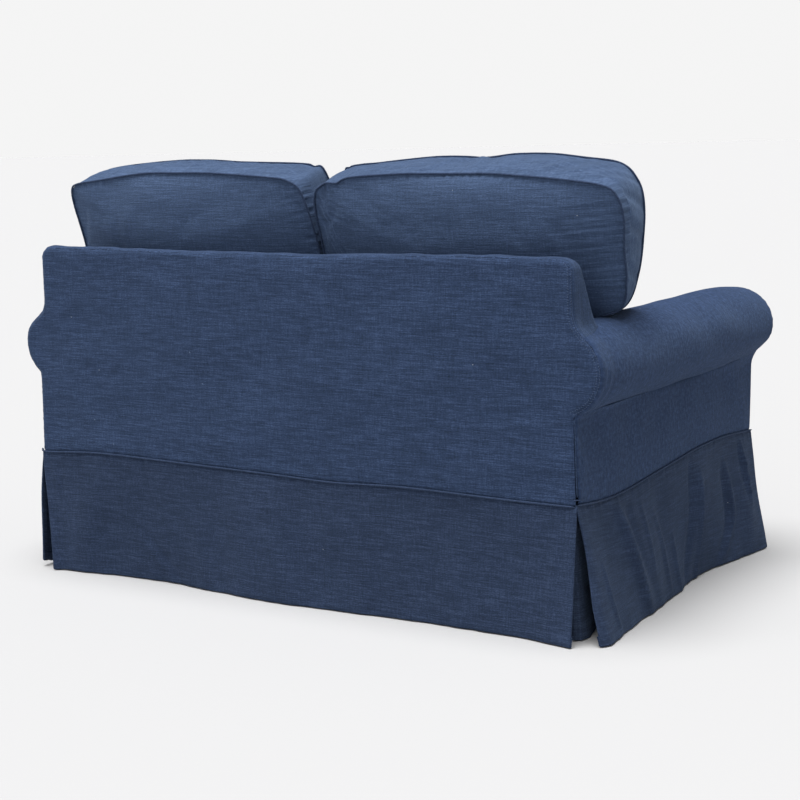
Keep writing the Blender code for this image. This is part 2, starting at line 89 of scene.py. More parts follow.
studio = {
    "floorSize": 120,
    "floorColour": (0.4335, 0.4325, 0.4355),
    "sky": 0.25,  # over the whole sky but its lowest part
    "horizon": 0.91,
    "horizonTurns": (0.09, 0.20),  # sines of the heights between which the sky darkens
    "lampHeight": 4,
    "lamps": {  # strength, how wide it looks in degrees, and the way towards it
        "overhead": (5.5, 42, (0.03, 0.17, 1.0)), "fill": (0.7, 60, (-0.14, 0.85, 0.45)),
    },
}


def addStudio():
    bpy.ops.mesh.primitive_plane_add(size=studio["floorSize"])
    floor = bpy.context.object
    floor.name = "studioFloor"
    paint = bpy.data.materials.new("floorPaint")
    paint.use_nodes = True
    shader = paint.node_tree.nodes["Principled BSDF"]
    shader.inputs["Base Color"].default_value = (*studio["floorColour"], 1)
    shader.inputs["Roughness"].default_value = 1.0
    shader.inputs["Specular IOR Level"].default_value = 0.0
    floor.data.materials.append(paint)
    world = bpy.data.worlds.new("studioSky")
    world.use_nodes = True
    bpy.context.scene.world = world
    tree = world.node_tree
    direction = addNode(tree, "TexCoord", {})
    parts = addNode(tree, "SeparateXYZ", {"Vector": direction.outputs["Generated"]})
    low, high = studio["horizonTurns"]
    fall = addNode(tree, "MapRange", {
        "Value": parts.outputs["Z"], "From Min": low, "From Max": high,
        "To Min": studio["horizon"], "To Max": studio["sky"],
    })
    fall.interpolation_type = "SMOOTHSTEP"
    wire(tree, tree.nodes["Background"], {"Strength": fall.outputs["Result"], "Color": (1, 1, 1, 1)})
    for word, (strength, angle, way) in studio["lamps"].items():
        bpy.ops.object.light_add(type="SUN", location=(0, 0, studio["lampHeight"]))
        lamp = bpy.context.object
        lamp.name = word + "Lamp"
        lamp.data.energy = strength
        lamp.data.angle = math.radians(angle)
        lamp.rotation_euler = Vector(way).to_track_quat("Z", "Y").to_euler()


addCamera()
addStudio()
bpy.context.scene.view_settings.view_transform = "Standard"
print("camera, floor and lamps placed")


# Cloth finishes: a slubby plain weave, its threads on the "cloth" UV map, which is in metres

weave = {
    "thread": 0.0011,  # from one thread to the next
    "longSlub": (0.044, 0.0022),  # length and height of a thick place in a weft thread
    "shortSlub": (0.0048, 0.0017),
    "warpSlub": (0.0017, 0.022),
    "slubs": (2.0, 2.1, 1.1),  # how strongly each of the three shows
    "cloud": (0.16, 0.28),  # size of broad shades, and how strongly they show
    "darkest": 1.15,  # how far the darkest and the palest threads go, for a contrast of one
    "palest": (1.9, 0.008),
    "roughness": 0.93,
    "specular": 0.10,
    "sheenRoughness": 0.55,
    "sheenTint": (0.50, 0.70, 1.0),
    "speck": (0.055, 0.62, 0.020, 0.55),  # lint: spacing, share left out, size, strength
    "lintColour": (0.42, 0.45, 0.50),
    "relief": (0.30, 0.55, 0.0008),  # of single threads beside slubs, bump strength and depth
}
finishes = {  # mid colour, how much darker and lighter threads differ, sheen
    "body_cloth": {"colour": (0.0226, 0.0390, 0.0836), "contrast": 0.47, "sheen": 0.09},
    # the skirt is the same cloth as the body; its darker colour is painted shade for the low, less lit skirt
    "skirt_cloth": {"colour": (0.0198, 0.0321, 0.0658), "contrast": 0.41, "sheen": 0.065},
    # the cushions are the same cloth too; their lighter colour is painted light on faces that the lamps
    # leave darker
    "cushion_cloth": {"colour": (0.0408, 0.0660, 0.127), "contrast": 0.31, "sheen": 0.15},
    "cord_cloth": {"colour": (0.026, 0.041, 0.082), "contrast": 0.25, "sheen": 0.06},
}


def addFinish(slotName, look):
    finish = bpy.data.materials.new(slotName + "_weave")
    finish.use_nodes = True
    tree = finish.node_tree
    shader = tree.nodes["Principled BSDF"]
    shader.inputs["Roughness"].default_value = weave["roughness"]
    shader.inputs["Sheen Weight"].default_value = look["sheen"]
    shader.inputs["Sheen Roughness"].default_value = weave["sheenRoughness"]
    shader.inputs["Sheen Tint"].default_value = (*weave["sheenTint"], 1)
    shader.inputs["Specular IOR Level"].default_value = weave["specular"]
    flat = addNode(tree, "UVMap", {})
    flat.uv_map = "cloth"
    place = flat.outputs["UV"]

    def noise(across, up, detail, shift):
        mapping = addNode(tree, "Mapping", {
            "Vector": place, "Scale": (1 / across, 1 / up, 1),
            "Location": (shift, shift * 0.37, shift * 0.11),
        })
        texture = addNode(tree, "TexNoise", {
            "Vector": mapping.outputs["Vector"], "Scale": 1, "Detail": detail, "Roughness": 0.55,
        })
        return texture.outputs["Fac"]

    def maths(kind, *given):
        node = addNode(tree, "Math", dict(enumerate(given)))
        node.operation = kind
        return node.outputs[0]

    slubs = look.get("slubs", weave["slubs"])
    longSlub = noise(*weave["longSlub"], 1.0, 3.1)
    shortSlub = noise(*look.get("short", weave["shortSlub"]), 2.0, 7.7)
    warpSlub = noise(*weave["warpSlub"], 1.0, 5.3)
    cloudSize, cloudStrength = weave["cloud"]
    cloud = noise(cloudSize, cloudSize, 2.0, 1.9)

    # light and dark threads, as one number round 0
    tone = maths("MULTIPLY", maths("SUBTRACT", longSlub, 0.5), slubs[0])
    for pattern, strength in ((shortSlub, slubs[1]), (warpSlub, slubs[2]), (cloud, cloudStrength)):
        tone = maths("MULTIPLY_ADD", maths("SUBTRACT", pattern, 0.5), strength, tone)
    spread = addNode(tree, "MapRange", {"Value": tone, "From Min": -1.0, "From Max": 1.0})
    mid = look["colour"]
    low = [c * (1 - weave["darkest"] * look["contrast"]) for c in mid]
    rise, lift = weave["palest"]
    high = [c * (1 + rise * look["contrast"]) + lift for c in mid]
    colour = addNode(tree, "ValToRGB", {"Fac": spread.outputs["Result"]})
    stops = colour.color_ramp.elements
    stops.new(0.5)
    for stop, shade in zip(stops, (low, mid, high)):
        stop.color = (*shade, 1)

    # sparse pale lint
    spacing, leftOut, size, strength = weave["speck"]
    speckle = addNode(tree, "TexVoronoi", {"Vector": place, "Scale": 1 / spacing})
    rare = maths("GREATER_THAN", speckle.outputs["Color"], leftOut)
    near = maths("LESS_THAN", speckle.outputs["Distance"], size)
    lint = maths("MULTIPLY", maths("MULTIPLY", rare, near), strength)
    dusted = addNode(tree, "Mix", {})
    dusted.data_type = "RGBA"
    wire(tree, dusted, {"Factor": lint, "A": colour.outputs["Color"], "B": (*weave["lintColour"], 1)})

    # threads that pass over and under each other
    parts = addNode(tree, "SeparateXYZ", {"Vector": place})
    turns = math.tau / (2 * weave["thread"])
    over, under = (maths("SINE", maths("MULTIPLY", parts.outputs[way], turns)) for way in ("X", "Y"))
    threadRelief, bumpStrength, bumpDepth = weave["relief"]
    bump = addNode(tree, "Bump", {
        "Height": maths("MULTIPLY_ADD", maths("MULTIPLY", over, under), threadRelief, tone),
        "Strength": bumpStrength, "Distance": bumpDepth,
    })
    wire(tree, shader, {"Base Color": dusted.outputs["Result"], "Normal": bump.outputs["Normal"]})
    return finish


variants = {  # what differs from a finish above
    "arm": {  # its weft runs up and over, and its slubs are short; its darker, bluer colour is painted shade on the arms' sides
        "colour": (0.0208, 0.0376, 0.0865), "contrast": 0.35,
        "slubs": (0.9, 2.5, 0.9), "short": (0.0085, 0.0076),
    },
    # the pleat inserts are the skirt's cloth in a lighter colour: painted light on inserts that lie in deep
    # shade
    "pleat": {"colour": (0.0300, 0.0455, 0.0850)},
    "thread": {"colour": (0.075, 0.105, 0.175), "contrast": 0.15, "sheen": 0.05},
}
clothOf = {name: addFinish(name, look) for name, look in finishes.items()}
threadCloth = addFinish("thread", variants["thread"])
# arm cloth: the body's weave turned, in a darker, bluer colour that paints shade onto the arms
armShadedCloth = addFinish("arm", {**finishes["body_cloth"], **variants["arm"]})
# pleat cloth: the skirt's weave, lightened as painted light
pleatLitCloth = addFinish("pleat", {**finishes["skirt_cloth"], **variants["pleat"]})
print("cloth finishes made:", ", ".join(clothOf))


# Shared ways of shaping and sewing cloth

def smoothRead(rows, places, column=1):  # one column of a short table, read by a smooth cubic
    rows = sorted(rows)
    xs = np.array([row[0] for row in rows], float)
    vs = np.array([row[column] for row in rows], float)
    places = np.clip(places, xs[0], xs[-1])
    k = np.clip(np.searchsorted(xs, places, side="right") - 1, 0, len(xs) - 2)
    before, after = np.maximum(k - 1, 0), np.minimum(k + 2, len(xs) - 1)
    span = xs[k + 1] - xs[k]
    t = (places - xs[k]) / span
    rise = (vs[k + 1] - vs[before]) / (xs[k + 1] - xs[before]) * span
    fall = (vs[after] - vs[k]) / (xs[after] - xs[k]) * span
    return (
        (2 * t**3 - 3 * t**2 + 1) * vs[k] + (t**3 - 2 * t**2 + t) * rise
        + (3 * t**2 - 2 * t**3) * vs[k + 1] + (t**3 - t**2) * fall
    )


def bell(distance, width):
    return np.exp(-((distance / width) ** 2))


def ramp(t):  # rises evenly from 0 to 1, and stays within them
    return np.clip(t, 0, 1)


def pointsOf(*parts):  # coordinates side by side, for a line or for a whole grid of points
    return np.stack(parts, -1)


def unit(vectors):
    return vectors / np.linalg.norm(vectors, axis=1, keepdims=True)


def wander(s, t, size, seed, waves=14):  # soft unevenness, mostly between -1 and 1
    draw = np.random.default_rng(seed)
    total = np.zeros(np.broadcast(s, t).shape)
    for _ in range(waves):
        angle, phase = draw.uniform(0, math.tau, 2)
        length = size * draw.uniform(0.65, 1.6)
        total += np.sin(math.tau * (s * math.cos(angle) + t * math.sin(angle)) / length + phase)
    return total / math.sqrt(waves)


def ripple(s, size, seed, waves=9):  # the same along one direction
    draw = np.random.default_rng(seed)
    total = np.zeros(np.shape(s))
    for _ in range(waves):
        length = size * draw.uniform(0.6, 1.7)
        total += np.sin(math.tau * s / length + draw.uniform(0, math.tau))
    return total / math.sqrt(waves)


def puckers(along, away, look, seed):  # the small waves that stitches draw up beside a seam
    tall, spacing, reach = look
    return tall * ripple(along, spacing, seed) * bell(away, reach)


def curveThrough(points, steps=10, closed=False):  # a smooth line through a few points
    points = np.array(points, float)
    count = len(points)
    line = []
    for k in range(count if closed else count - 1):
        around = [k + j if not closed else (k + j) % count for j in (-1, 0, 1, 2)]
        a, b, c, d = (points[min(max(j, 0), count - 1)] for j in around)
        for step in range(steps):
            t = step / steps
            line.append(
                b + (c - a) * t / 2 + (2 * a - 5 * b + 4 * c - d) * t**2 / 2
                + (3 * b - a - 3 * c + d) * t**3 / 2
            )
    return np.array(line if closed else line + [points[-1]])


def crease(s, t, path, height, width):  # a ridge or trough along a path, fading at both ends
    line = curveThrough(path)
    nearest = np.full(np.shape(s), 1e9)
    share = np.zeros(np.shape(s))
    for k, (ps, pt) in enumerate(line):
        distance = (s - ps) ** 2 + (t - pt) ** 2
        closer = distance < nearest
        nearest = np.where(closer, distance, nearest)
        share = np.where(closer, k / (len(line) - 1), share)
    fade = np.sin(np.clip(share, 0.02, 0.98) * math.pi) ** 0.5
    return height * fade * np.exp(-nearest / width**2)


def creases(s, t, listed):
    return sum((crease(s, t, *one) for one in listed), np.zeros(np.shape(s)))


def runningLength(line):  # the way along a line to each of its points
    return np.concatenate([[0], np.cumsum(np.linalg.norm(np.diff(line, axis=0), axis=1))])


def edgeDistance(s, t, edge):  # from points of a panel to the line where it is sewn
    nearest = np.full(np.shape(s), 1e9)
    for es, et in edge:
        nearest = np.minimum(nearest, (s - es) ** 2 + (t - et) ** 2)
    return np.sqrt(nearest)


def places(low, high, step, fineLow=True, fineHigh=True):  # even steps, closer at a sewn edge
    near = np.array([0.0, 0.0016, 0.0034, 0.0058, 0.0088])
    first = low + near if fineLow else np.array([low])
    last = high - near[::-1] if fineHigh else np.array([high])
    count = max(1, round((last[0] - first[-1]) / step))
    middle = np.linspace(first[-1], last[0], count + 1)[1:-1]
    return np.concatenate([first, middle, last])


def turnIn(inset, radius=None):  # how deep cloth has turned in, by its distance from the corner
    radius = radius or cover["edgeRadius"]
    away = np.clip(radius - inset, 0, radius * 0.999)
    return radius - np.sqrt(radius * radius - away * away)


def activate(piece):
    bpy.ops.object.select_all(action="DESELECT")
    piece.select_set(True)
    bpy.context.view_layer.objects.active = piece


def applyModifier(piece, kind, **settings):
    activate(piece)
    modifier = piece.modifiers.new(kind.lower(), kind)
    for word, value in settings.items():
        setattr(modifier, word, value)
    bpy.ops.object.modifier_apply(modifier=modifier.name)


def faceOutwards(piece, merged=0.0):
    activate(piece)
    bpy.ops.object.mode_set(mode="EDIT")
    bpy.ops.mesh.select_all(action="SELECT")
    if merged:
        bpy.ops.mesh.remove_doubles(threshold=merged)
    bpy.ops.mesh.normals_make_consistent(inside=False)
    bpy.ops.object.mode_set(mode="OBJECT")


def finishPiece(piece, nodeNames, slotName, cloth=None):
    piece.data.materials.clear()
    piece.data.materials.append(cloth or clothOf[slotName])
    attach(piece, "root")
    if nodeNames:
        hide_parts(*nodeNames)


def meshFrom(name, points, faces):
    mesh = bpy.data.meshes.new(name)
    mesh.from_pydata([tuple(p) for p in points], [], faces)
    mesh.update()
    piece = bpy.data.objects.new(name, mesh)
    bpy.context.scene.collection.objects.link(piece)
    faceOutwards(piece)
    return piece


def readPoints(mesh):
    flatList = np.empty(len(mesh.vertices) * 3)
    mesh.vertices.foreach_get("co", flatList)
    return flatList.reshape(-1, 3)


def readWhole(items, word):  # one whole number of each of a mesh's items
    values = np.empty(len(items), int)
    items.foreach_get(word, values)
    return values


def addGrid(name, points, flat):  # a grid whose vertices are laid at points[row, column]
    rows, columns = points.shape[:2]
    bpy.ops.object.select_all(action="DESELECT")
    bpy.ops.mesh.primitive_grid_add(x_subdivisions=columns - 1, y_subdivisions=rows - 1, size=1)
    piece = bpy.context.object
    piece.name = name
    mesh = piece.data
    start = readPoints(mesh) + 0.5
    column = np.rint(start[:, 0] * (columns - 1)).astype(int)
    row = np.rint(start[:, 1] * (rows - 1)).astype(int)
    mesh.vertices.foreach_set("co", points[row, column].ravel())
    uvLayer = mesh.uv_layers[0]
    uvLayer.name = "cloth"
    corner = readWhole(mesh.loops, "vertex_index")
    uvLayer.data.foreach_set("uv", flat[row, column][corner].ravel())
    mesh.update()
    return piece


def addPanel(name, points, flat, node, slotName="body_cloth", cloth=None):  # rows upwards
    piece = addGrid(name, points, flat)
    applyModifier(piece, "SOLIDIFY", thickness=cover["cloth"], offset=-1)
    bpy.ops.object.shade_smooth_by_angle(angle=math.radians(cover["sharpest"]))
    finishPiece(piece, [node] if node else [], slotName, cloth)
    return piece


def facing(points, flat, side):  # columns in the order that makes cloth face outwards
    return (points, flat) if side > 0 else (points[:, ::-1], flat[:, ::-1])


def outwards(side, out, y, z):  # a side panel's points
    return facing(pointsOf(side * out, y, z), pointsOf(side * y, z), side)


cordShape = {
    "sides": 10,
    "guide": (0, 0, 1),  # upwards, and what stands in for it where a cord climbs
    "spareGuide": (0.3, 0.9, 0.1),
    "uneven": 0.05,  # share by which its thickness wanders
    "roundedEnd": (0.02, 0.62, 0.88),  # shares of its thickness
}


def addTube(name, line, radii, nodeNames, slotName, closed=False):  # a covered cord
    line = np.asarray(line, float)
    ahead = unit(np.roll(line, -1, 0) - np.roll(line, 1, 0) if closed else np.gradient(line, axis=0))
    guide = np.tile(np.array(cordShape["guide"], float), (len(line), 1))
    level = np.cross(guide, ahead)
    small = np.linalg.norm(level, axis=1) < 0.2
    level[small] = np.cross(np.array(cordShape["spareGuide"]), ahead[small])
    if closed:  # a ring's own plane keeps the tube from twisting
        middle = line - line.mean(0)
        plane = np.cross(middle, np.roll(middle, -1, 0)).sum(0)
        level = np.cross(ahead, plane / np.linalg.norm(plane))
    level = unit(level)
    upright = np.cross(ahead, level)
    turns = np.linspace(0, math.tau, cordShape["sides"] + 1)
    order = np.arange(len(line) + closed) % len(line)
    line, level, upright, radii = line[order], level[order], upright[order], radii[order]
    cosines, sines = np.cos(turns)[None, :, None], np.sin(turns)[None, :, None]
    points = line[:, None] + (level[:, None] * cosines - upright[:, None] * sines) * radii[:, None, None]
    u, v = np.meshgrid(turns * radii.max(), runningLength(line))
    flat = pointsOf((u + v) * 0.707, (v - u) * 0.707)  # cut on the bias
    piece = addGrid(name, points, flat)
    faceOutwards(piece, merged=1e-6)
    bpy.ops.object.shade_smooth()
    finishPiece(piece, nodeNames, slotName)
    return piece


def cordRadii(count, radius, seed, closed=False):  # slightly lumpy, and rounded off at open ends
    k = np.arange(count)
    if closed:
        wave = np.sin(math.tau * k * 23 / count + seed) + np.sin(math.tau * k * 37 / count + 2 * seed)
        return radius * (1 + cordShape["uneven"] * wave / 2)
    radii = radius * (1 + cordShape["uneven"] * ripple(k * 1.0, 9, seed))
    for j, share in enumerate(cordShape["roundedEnd"]):
        radii[j] = radii[-1 - j] = radius * share
    return radii


# Body of the cover

cover = {
    "cloth": 0.002,
    "halfWidth": 0.678,
    "halfDepth": 0.4625,
    "backTop": 0.760,
    "backCorner": 0.028,
    "edgeRadius": 0.014,  # how softly the panels turn in to their corner seams
    "seamGap": 0.0005,
    "clear": 0.0003,  # between a panel's edge and the level where it is sewn
    "seamPull": (0.0022, 0.0035),  # how deep a skirt seam draws a panel in, and how far from it
    "deck": 0.330,
    "rollX": 0.642,
    "rollZ": 0.535,
    "rollRadius": 0.0875,
    "rollClear": 0.0014,
    "spread": {  # how far round its roll each of the back's sides reaches, at the front and at
        "left": (66, 58, 0.636), "right": (68, 50, 0.654),  # the rear, and where it begins to spread
    },
    "rakeTop": 0.424,
    "rakeSlope": 0.48,
    "padding": 0.032,
    "hem": 0.0024,
    "sharpest": 55,  # degrees between faces that still shade as one
}
sides = {  # how the cover hangs a little wider than the plain block: depth, how many degrees up the roll
    # the side panel meets it, and how far out the panel is there and at the skirt's seam
    "roll": 0.008,
    "left": ((-0.4625, 12, 0.010, 0.008), (0.0, 8, 0.015, 0.016), (0.4625, 12, 0.0215, 0.025)),
    "right": (
        (-0.4625, 21, 0.0075, 0.0035), (-0.36, 12, 0.006, 0.005), (-0.17, 4, 0.005, 0.006),
        (0.11, 2.5, 0.003, 0.005), (0.25, 6, 0.002, 0.005), (0.40, 8, 0.002, 0.005),
        (0.4625, 5, 0.002, 0.005),
    ),
}
seamBack = (  # across, height of the skirt's seam
    (0.678, 0.279), (0.535, 0.287), (0.356, 0.285), (0.212, 0.282), (0.047, 0.279),
    (-0.111, 0.275), (-0.280, 0.280), (-0.529, 0.276), (-0.678, 0.275),
)
seamSide = (  # depth, height
    (0.4625, 0.279), (0.410, 0.2725), (0.330, 0.2665), (0.247, 0.2665), (0.111, 0.2755),
    (-0.034, 0.286), (-0.129, 0.2925), (-0.269, 0.294), (-0.380, 0.287), (-0.4625, 0.281),
)
bothSides = (("left", 1), ("right", -1))  # a sitter's, and which way along X
frontSeam = 0.281
seamLevel = 0.279  # the skirt's seam, on the whole
topEdge = (  # across, how far the back's top edge lies off its level
    (0.678, -0.0030), (0.615, -0.0045), (0.525, -0.0040), (0.446, -0.0054), (0.230, -0.0070),
    (0.077, -0.0074), (-0.024, -0.0088), (-0.124, -0.0076), (-0.198, -0.0046), (-0.364, -0.0026),
    (-0.491, -0.0018), (-0.568, -0.0030), (-0.652, -0.0038), (-0.678, -0.0036),
)
rollLift = (  # depth, how far the right roll's top stands above its round
    (-0.4625, -0.0060), (-0.440, -0.0020), (-0.390, 0.0030), (-0.340, 0.0060), (-0.270, 0.0080),
    (-0.150, 0.0060), (-0.070, 0.0050), (0.000, 0.0045), (0.100, 0.0055), (0.160, 0.0040),
    (0.230, 0.0010), (0.280, 0.0), (0.4625, 0.0),
)
slimEnds = {  # how much thinner a roll grows, round which turn and how widely, from which depth on
    "left": (0.0085, 50, 22, 0.20, 0.20), "right": (0.0088, -46, 22, -0.26, -0.16),
}
turned = cover["edgeRadius"] * (1 - math.sqrt(0.5)) + cover["seamGap"] / 2
innerArm = cover["rollX"] - cover["rollRadius"]
rollOut = cover["rollX"] + sides["roll"]
creaseTurn = math.acos((cover["halfWidth"] - rollOut) / cover["rollRadius"])
rollCrease = cover["rollZ"] - cover["rollRadius"] * math.sin(creaseTurn)
rollTop = cover["rollZ"] + cover["rollRadius"]


def rakeAt(height):  # depth of the raked inside back at its edges
    return cover["rakeTop"] - cover["rakeSlope"] * (cover["backTop"] - height)


def topWave(x, height):  # how far the back's top edge, which isn't quite level, shifts what is near it
    wave = smoothRead(topEdge, x) + 0.0004 * ripple(x, 0.06, 5)
    return wave * ramp((height - 0.70) / 0.055)


def seamPull(away, look=cover):  # how deep a panel is drawn in, by its distance from the skirt's seam
    depth, width = look["seamPull"]
    return depth * bell(away, width)


def sideAt(word, y, z):  # how far across a side panel hangs, before its shallow curve up to the roll
    rise = ramp((z - seamLevel) / (rollCrease - seamLevel))
    low, high = smoothRead(sides[word], y, 3), smoothRead(sides[word], y, 2)
    return cover["halfWidth"] + low + (high - low) * rise


def rollShape(word, y, turn):  # how far a roll lies off its round: slim at one end, lifted on top
    slim, middle, wide, start, length = slimEnds[word]
    thinned = slim * bell(np.degrees(turn) - middle, wide) * ramp((y - start) / length)
    if word == "left":
        return -thinned
    return smoothRead(rollLift, y) * ramp(np.sin(turn)) ** 2 - thinned


def meetingAt(word, y):  # where that curve meets the roll, across and up
    turn = np.radians(smoothRead(sides[word], y, 1)) - creaseTurn
    radius = cover["rollRadius"] + rollShape(word, y, turn)
    return rollOut + radius * np.cos(turn), cover["rollZ"] + radius * np.sin(turn), turn


def rollShoulderCurve(word, share, steps=13):  # from the roll up to the back's straight side
    first, last, low = cover["spread"][word]
    half = cover["halfWidth"]
    turn = np.radians(first + (last - first) * share)
    radius = cover["rollRadius"] + rollShape(word, cover["halfDepth"], turn)
    startX, startZ = rollOut + radius * np.cos(turn), cover["rollZ"] + radius * np.sin(turn)
    bendZ = startZ + (startX - half) * np.cos(turn) / np.sin(turn)
    q = np.linspace(0, 1, steps)
    x = (1 - q) ** 2 * startX + 2 * q * (1 - q) * half + q**2 * half
    z = (1 - q) ** 2 * startZ + 2 * q * (1 - q) * bendZ + q**2 * low
    aheadX = 2 * (1 - q) * (half - startX)
    aheadZ = 2 * (1 - q) * (bendZ - startZ) + 2 * q * (low - bendZ)
    long = np.hypot(aheadX, aheadZ)
    return pointsOf(x, z, aheadZ / long, -aheadX / long)


def backHalfWidth(height, inset=0.0, word="right", share=1):  # with roll ends and rounded top corners
    height = np.asarray(height, float)
    lower = sideAt(word, cover["halfDepth"], height)
    half = np.where(height < cover["rollZ"], lower, cover["halfWidth"]) - inset
    radius = cover["rollRadius"] - inset
    rise = height - cover["rollZ"]
    turns = np.radians(np.linspace(-89, 89, 179))
    long = radius + rollShape(word, cover["halfDepth"], turns)
    reach = rollOut + np.interp(rise, long * np.sin(turns), long * np.cos(turns))
    reach = np.where(np.abs(rise) < radius, reach, rollOut - 2 * (np.abs(rise) - radius))
    soft = 0.006 * bell(height - rollCrease, 0.020)
    half = (half + reach + np.sqrt((half - reach) ** 2 + soft**2)) / 2
    curve = rollShoulderCurve(word, share, 40)
    curveX, curveZ = curve[:, 0] - curve[:, 2] * inset, curve[:, 1] - curve[:, 3] * inset
    beside = (height > curveZ[0]) & (height < curveZ[-1])
    half = np.where(beside, np.interp(height, curveZ, curveX), half)
    corner = cover["backCorner"] - inset
    over = np.clip(height - (cover["backTop"] - cover["backCorner"]), 0, corner)
    return half - corner + np.sqrt(corner**2 - over**2)


def backOutline():
    height = np.linspace(0.24, cover["backTop"], 300)
    left, right = backHalfWidth(height, 0.0, "left"), backHalfWidth(height)
    top = np.linspace(left[-1], -right[-1], 400)
    level = np.full(len(top), cover["backTop"])
    return np.concatenate([pointsOf(left, height), pointsOf(top, level), pointsOf(-right, height)])


outsideBack = {
    "step": 0.0062,
    "fullness": 0.005,
    "uneven": 0.0011,
    "creases": (  # path across and up, height, width
        (((0.60, 0.50), (0.50, 0.47), (0.42, 0.47)), -0.0014, 0.014),
        (((-0.64, 0.462), (-0.57, 0.447), (-0.50, 0.452)), -0.0018, 0.011),
        (((-0.655, 0.44), (-0.58, 0.425), (-0.52, 0.43)), 0.0014, 0.012),
        (((-0.64, 0.36), (-0.54, 0.345), (-0.42, 0.35)), 0.0014, 0.018),
        (((-0.64, 0.56), (-0.56, 0.55), (-0.50, 0.57)), -0.0012, 0.016),
        (((0.20, 0.33), (0.05, 0.345), (-0.12, 0.34)), 0.0012, 0.022),
        (((-0.645, 0.735), (-0.640, 0.69), (-0.636, 0.63), (-0.65, 0.59)), -0.0012, 0.008),
        (((-0.664, 0.745), (-0.665, 0.68), (-0.667, 0.62)), 0.0012, 0.006),
        (((0.664, 0.745), (0.665, 0.68), (0.667, 0.62)), 0.0012, 0.006),
    ),
    "pucker": (0.0006, 0.015, 0.016),  # height, spacing, and how far they reach from the seam
    "skirtPucker": (0.0007, 0.022, 0.016),
}


def makeOutsideBack():
    radius = cover["rollRadius"] - turned
    corner = cover["backCorner"] - turned
    arcTop = cover["rollZ"] + radius * math.sin(math.radians(62))
    levels = np.concatenate([
        places(seamLevel, rollCrease - 0.004, outsideBack["step"], True, False),
        cover["rollZ"] + radius * np.sin(np.radians(np.linspace(-62, 62, 28))),
        np.linspace(arcTop, cover["backTop"] - cover["backCorner"], 18)[1:],
        cover["backTop"] - cover["backCorner"] + corner * np.sin(np.radians(
            (12, 24, 35, 45, 54, 62, 69, 75, 80, 84, 87, 89)
        )),
    ])
    even = places(-cover["halfWidth"], cover["halfWidth"], outsideBack["step"])
    share, height = np.meshgrid(-even / cover["halfWidth"], levels)
    x = share * np.where(share > 0, backHalfWidth(height, turned, "left"), backHalfWidth(height, turned))
    rise = (height - seamLevel) / (cover["backTop"] - seamLevel)
    z = height + (smoothRead(seamBack, x) + cover["clear"] - seamLevel) * ramp(1 - rise * 4)
    distance = edgeDistance(x, z, backOutline())
    low = z - smoothRead(seamBack, x)
    fullness = outsideBack["fullness"] + 0.0015 * np.sin(9 * x + 20 * z)
    out = (1 - share**2) * np.sin(math.pi * ramp(rise)) * fullness
    out += creases(x, z, outsideBack["creases"])
    out += outsideBack["uneven"] * wander(x, z * 1.5, 0.20, 11)
    out *= ramp(distance / 0.03) * ramp(low / 0.02)
    out += puckers(x - z, distance, outsideBack["pucker"], 12)
    out += puckers(x, low, outsideBack["skirtPucker"], 13)
    out -= seamPull(low)
    out -= turnIn(distance)
    z = z + topWave(x, z)
    points = pointsOf(x, cover["halfDepth"] + out, z)
    addPanel("outsideBackPanel", points, pointsOf(-x, z), "outside_back")


makeOutsideBack()


backBoxing = {
    "step": 0.007,
    "pucker": (0.0006, 0.018, 0.5),
    "width": 0.040,
    "stepAcross": 0.0045,
    "drawnEnd": (0.0024, 0.004),  # how deep its ends are drawn in, and how far from them
    "hollow": (0.0022, 0.030, 0.014),  # depth, distance from an end, width
    "uneven": 0.0010,
}


def makeBackBoxing():  # the strip up one side of the back, across its top and down the other
    half, corner, top = cover["halfWidth"], cover["backCorner"], cover["backTop"]
    arc = np.radians(np.linspace(0, 90, 10))[1:-1]
    level = np.linspace(-(half - corner), half - corner, round(2 * (half - corner) / backBoxing["step"]))
    bend = [
        (-half + corner * (1 - math.cos(a)), top - corner * (1 - math.sin(a)), -math.cos(a), math.sin(a))
        for a in arc
    ]
    straight = {
        word: [(-half, z, -1, 0) for z in np.linspace(cover["spread"][word][2], top - corner, 14)]
        for word, _ in bothSides
    }
    path = straight["right"] + bend + [(x, top, 0, 1) for x in level]
    path = np.array(path + [(-x, z, -nx, nz) for x, z, nx, nz in reversed(straight["left"] + bend)])
    share = places(0, backBoxing["width"], backBoxing["stepAcross"]) / backBoxing["width"]

    # each end curves outwards until it lies on its roll
    foot = {word: np.stack([rollShoulderCurve(word, t)[:-1] for t in share]) for word, _ in bothSides}
    wide = np.repeat(path[None], len(share), 0)
    mirrored = foot["right"] * np.array([-1, 1, -1, 1])
    wide = np.concatenate([mirrored, wide, foot["left"][:, ::-1]], 1)

    along = runningLength(wide[-1, :, :2])
    front = rakeAt(wide[..., 1])
    t, s = np.meshgrid(share, along, indexing="ij")
    y = front + turned + t * (cover["halfDepth"] - turned - front - turned)
    ends = np.minimum(s - s.min(), s.max() - s)
    out = backBoxing["uneven"] * wander(s, y, 0.09, 21) + puckers(s, t - 1, backBoxing["pucker"], 22)
    out *= ramp(ends / 0.02) * np.sin(math.pi * np.clip(t, 0.02, 0.98)) ** 0.4
    drawn, near = backBoxing["drawnEnd"]
    hollow, away, width = backBoxing["hollow"]
    out -= drawn * bell(ends, near) + hollow * bell(ends - away, width) * bell(t - 0.55, 0.30)
    out -= turnIn(cover["halfDepth"] - y) + turnIn(y - front) * ramp(ends / 0.03)
    out += topWave(wide[..., 0], wide[..., 1])
    x = wide[..., 0] + wide[..., 2] * out
    z = wide[..., 1] + wide[..., 3] * out
    addPanel("backBoxingStrip", pointsOf(x, y, z), pointsOf(s, y), "back_boxing")


makeBackBoxing()


insideBack = {
    "turns": (0, 10, 20, 30, 40, 50, 60, 70, 78, 84, 88),  # degrees up a roll, for its rows
    "belowTop": (0.022, 0.016, 0.011, 0.008, 0.0055),
    "uneven": (0.0012, 0.12),
    "stretch": 1.11,  # of its flat height, because it is raked
}


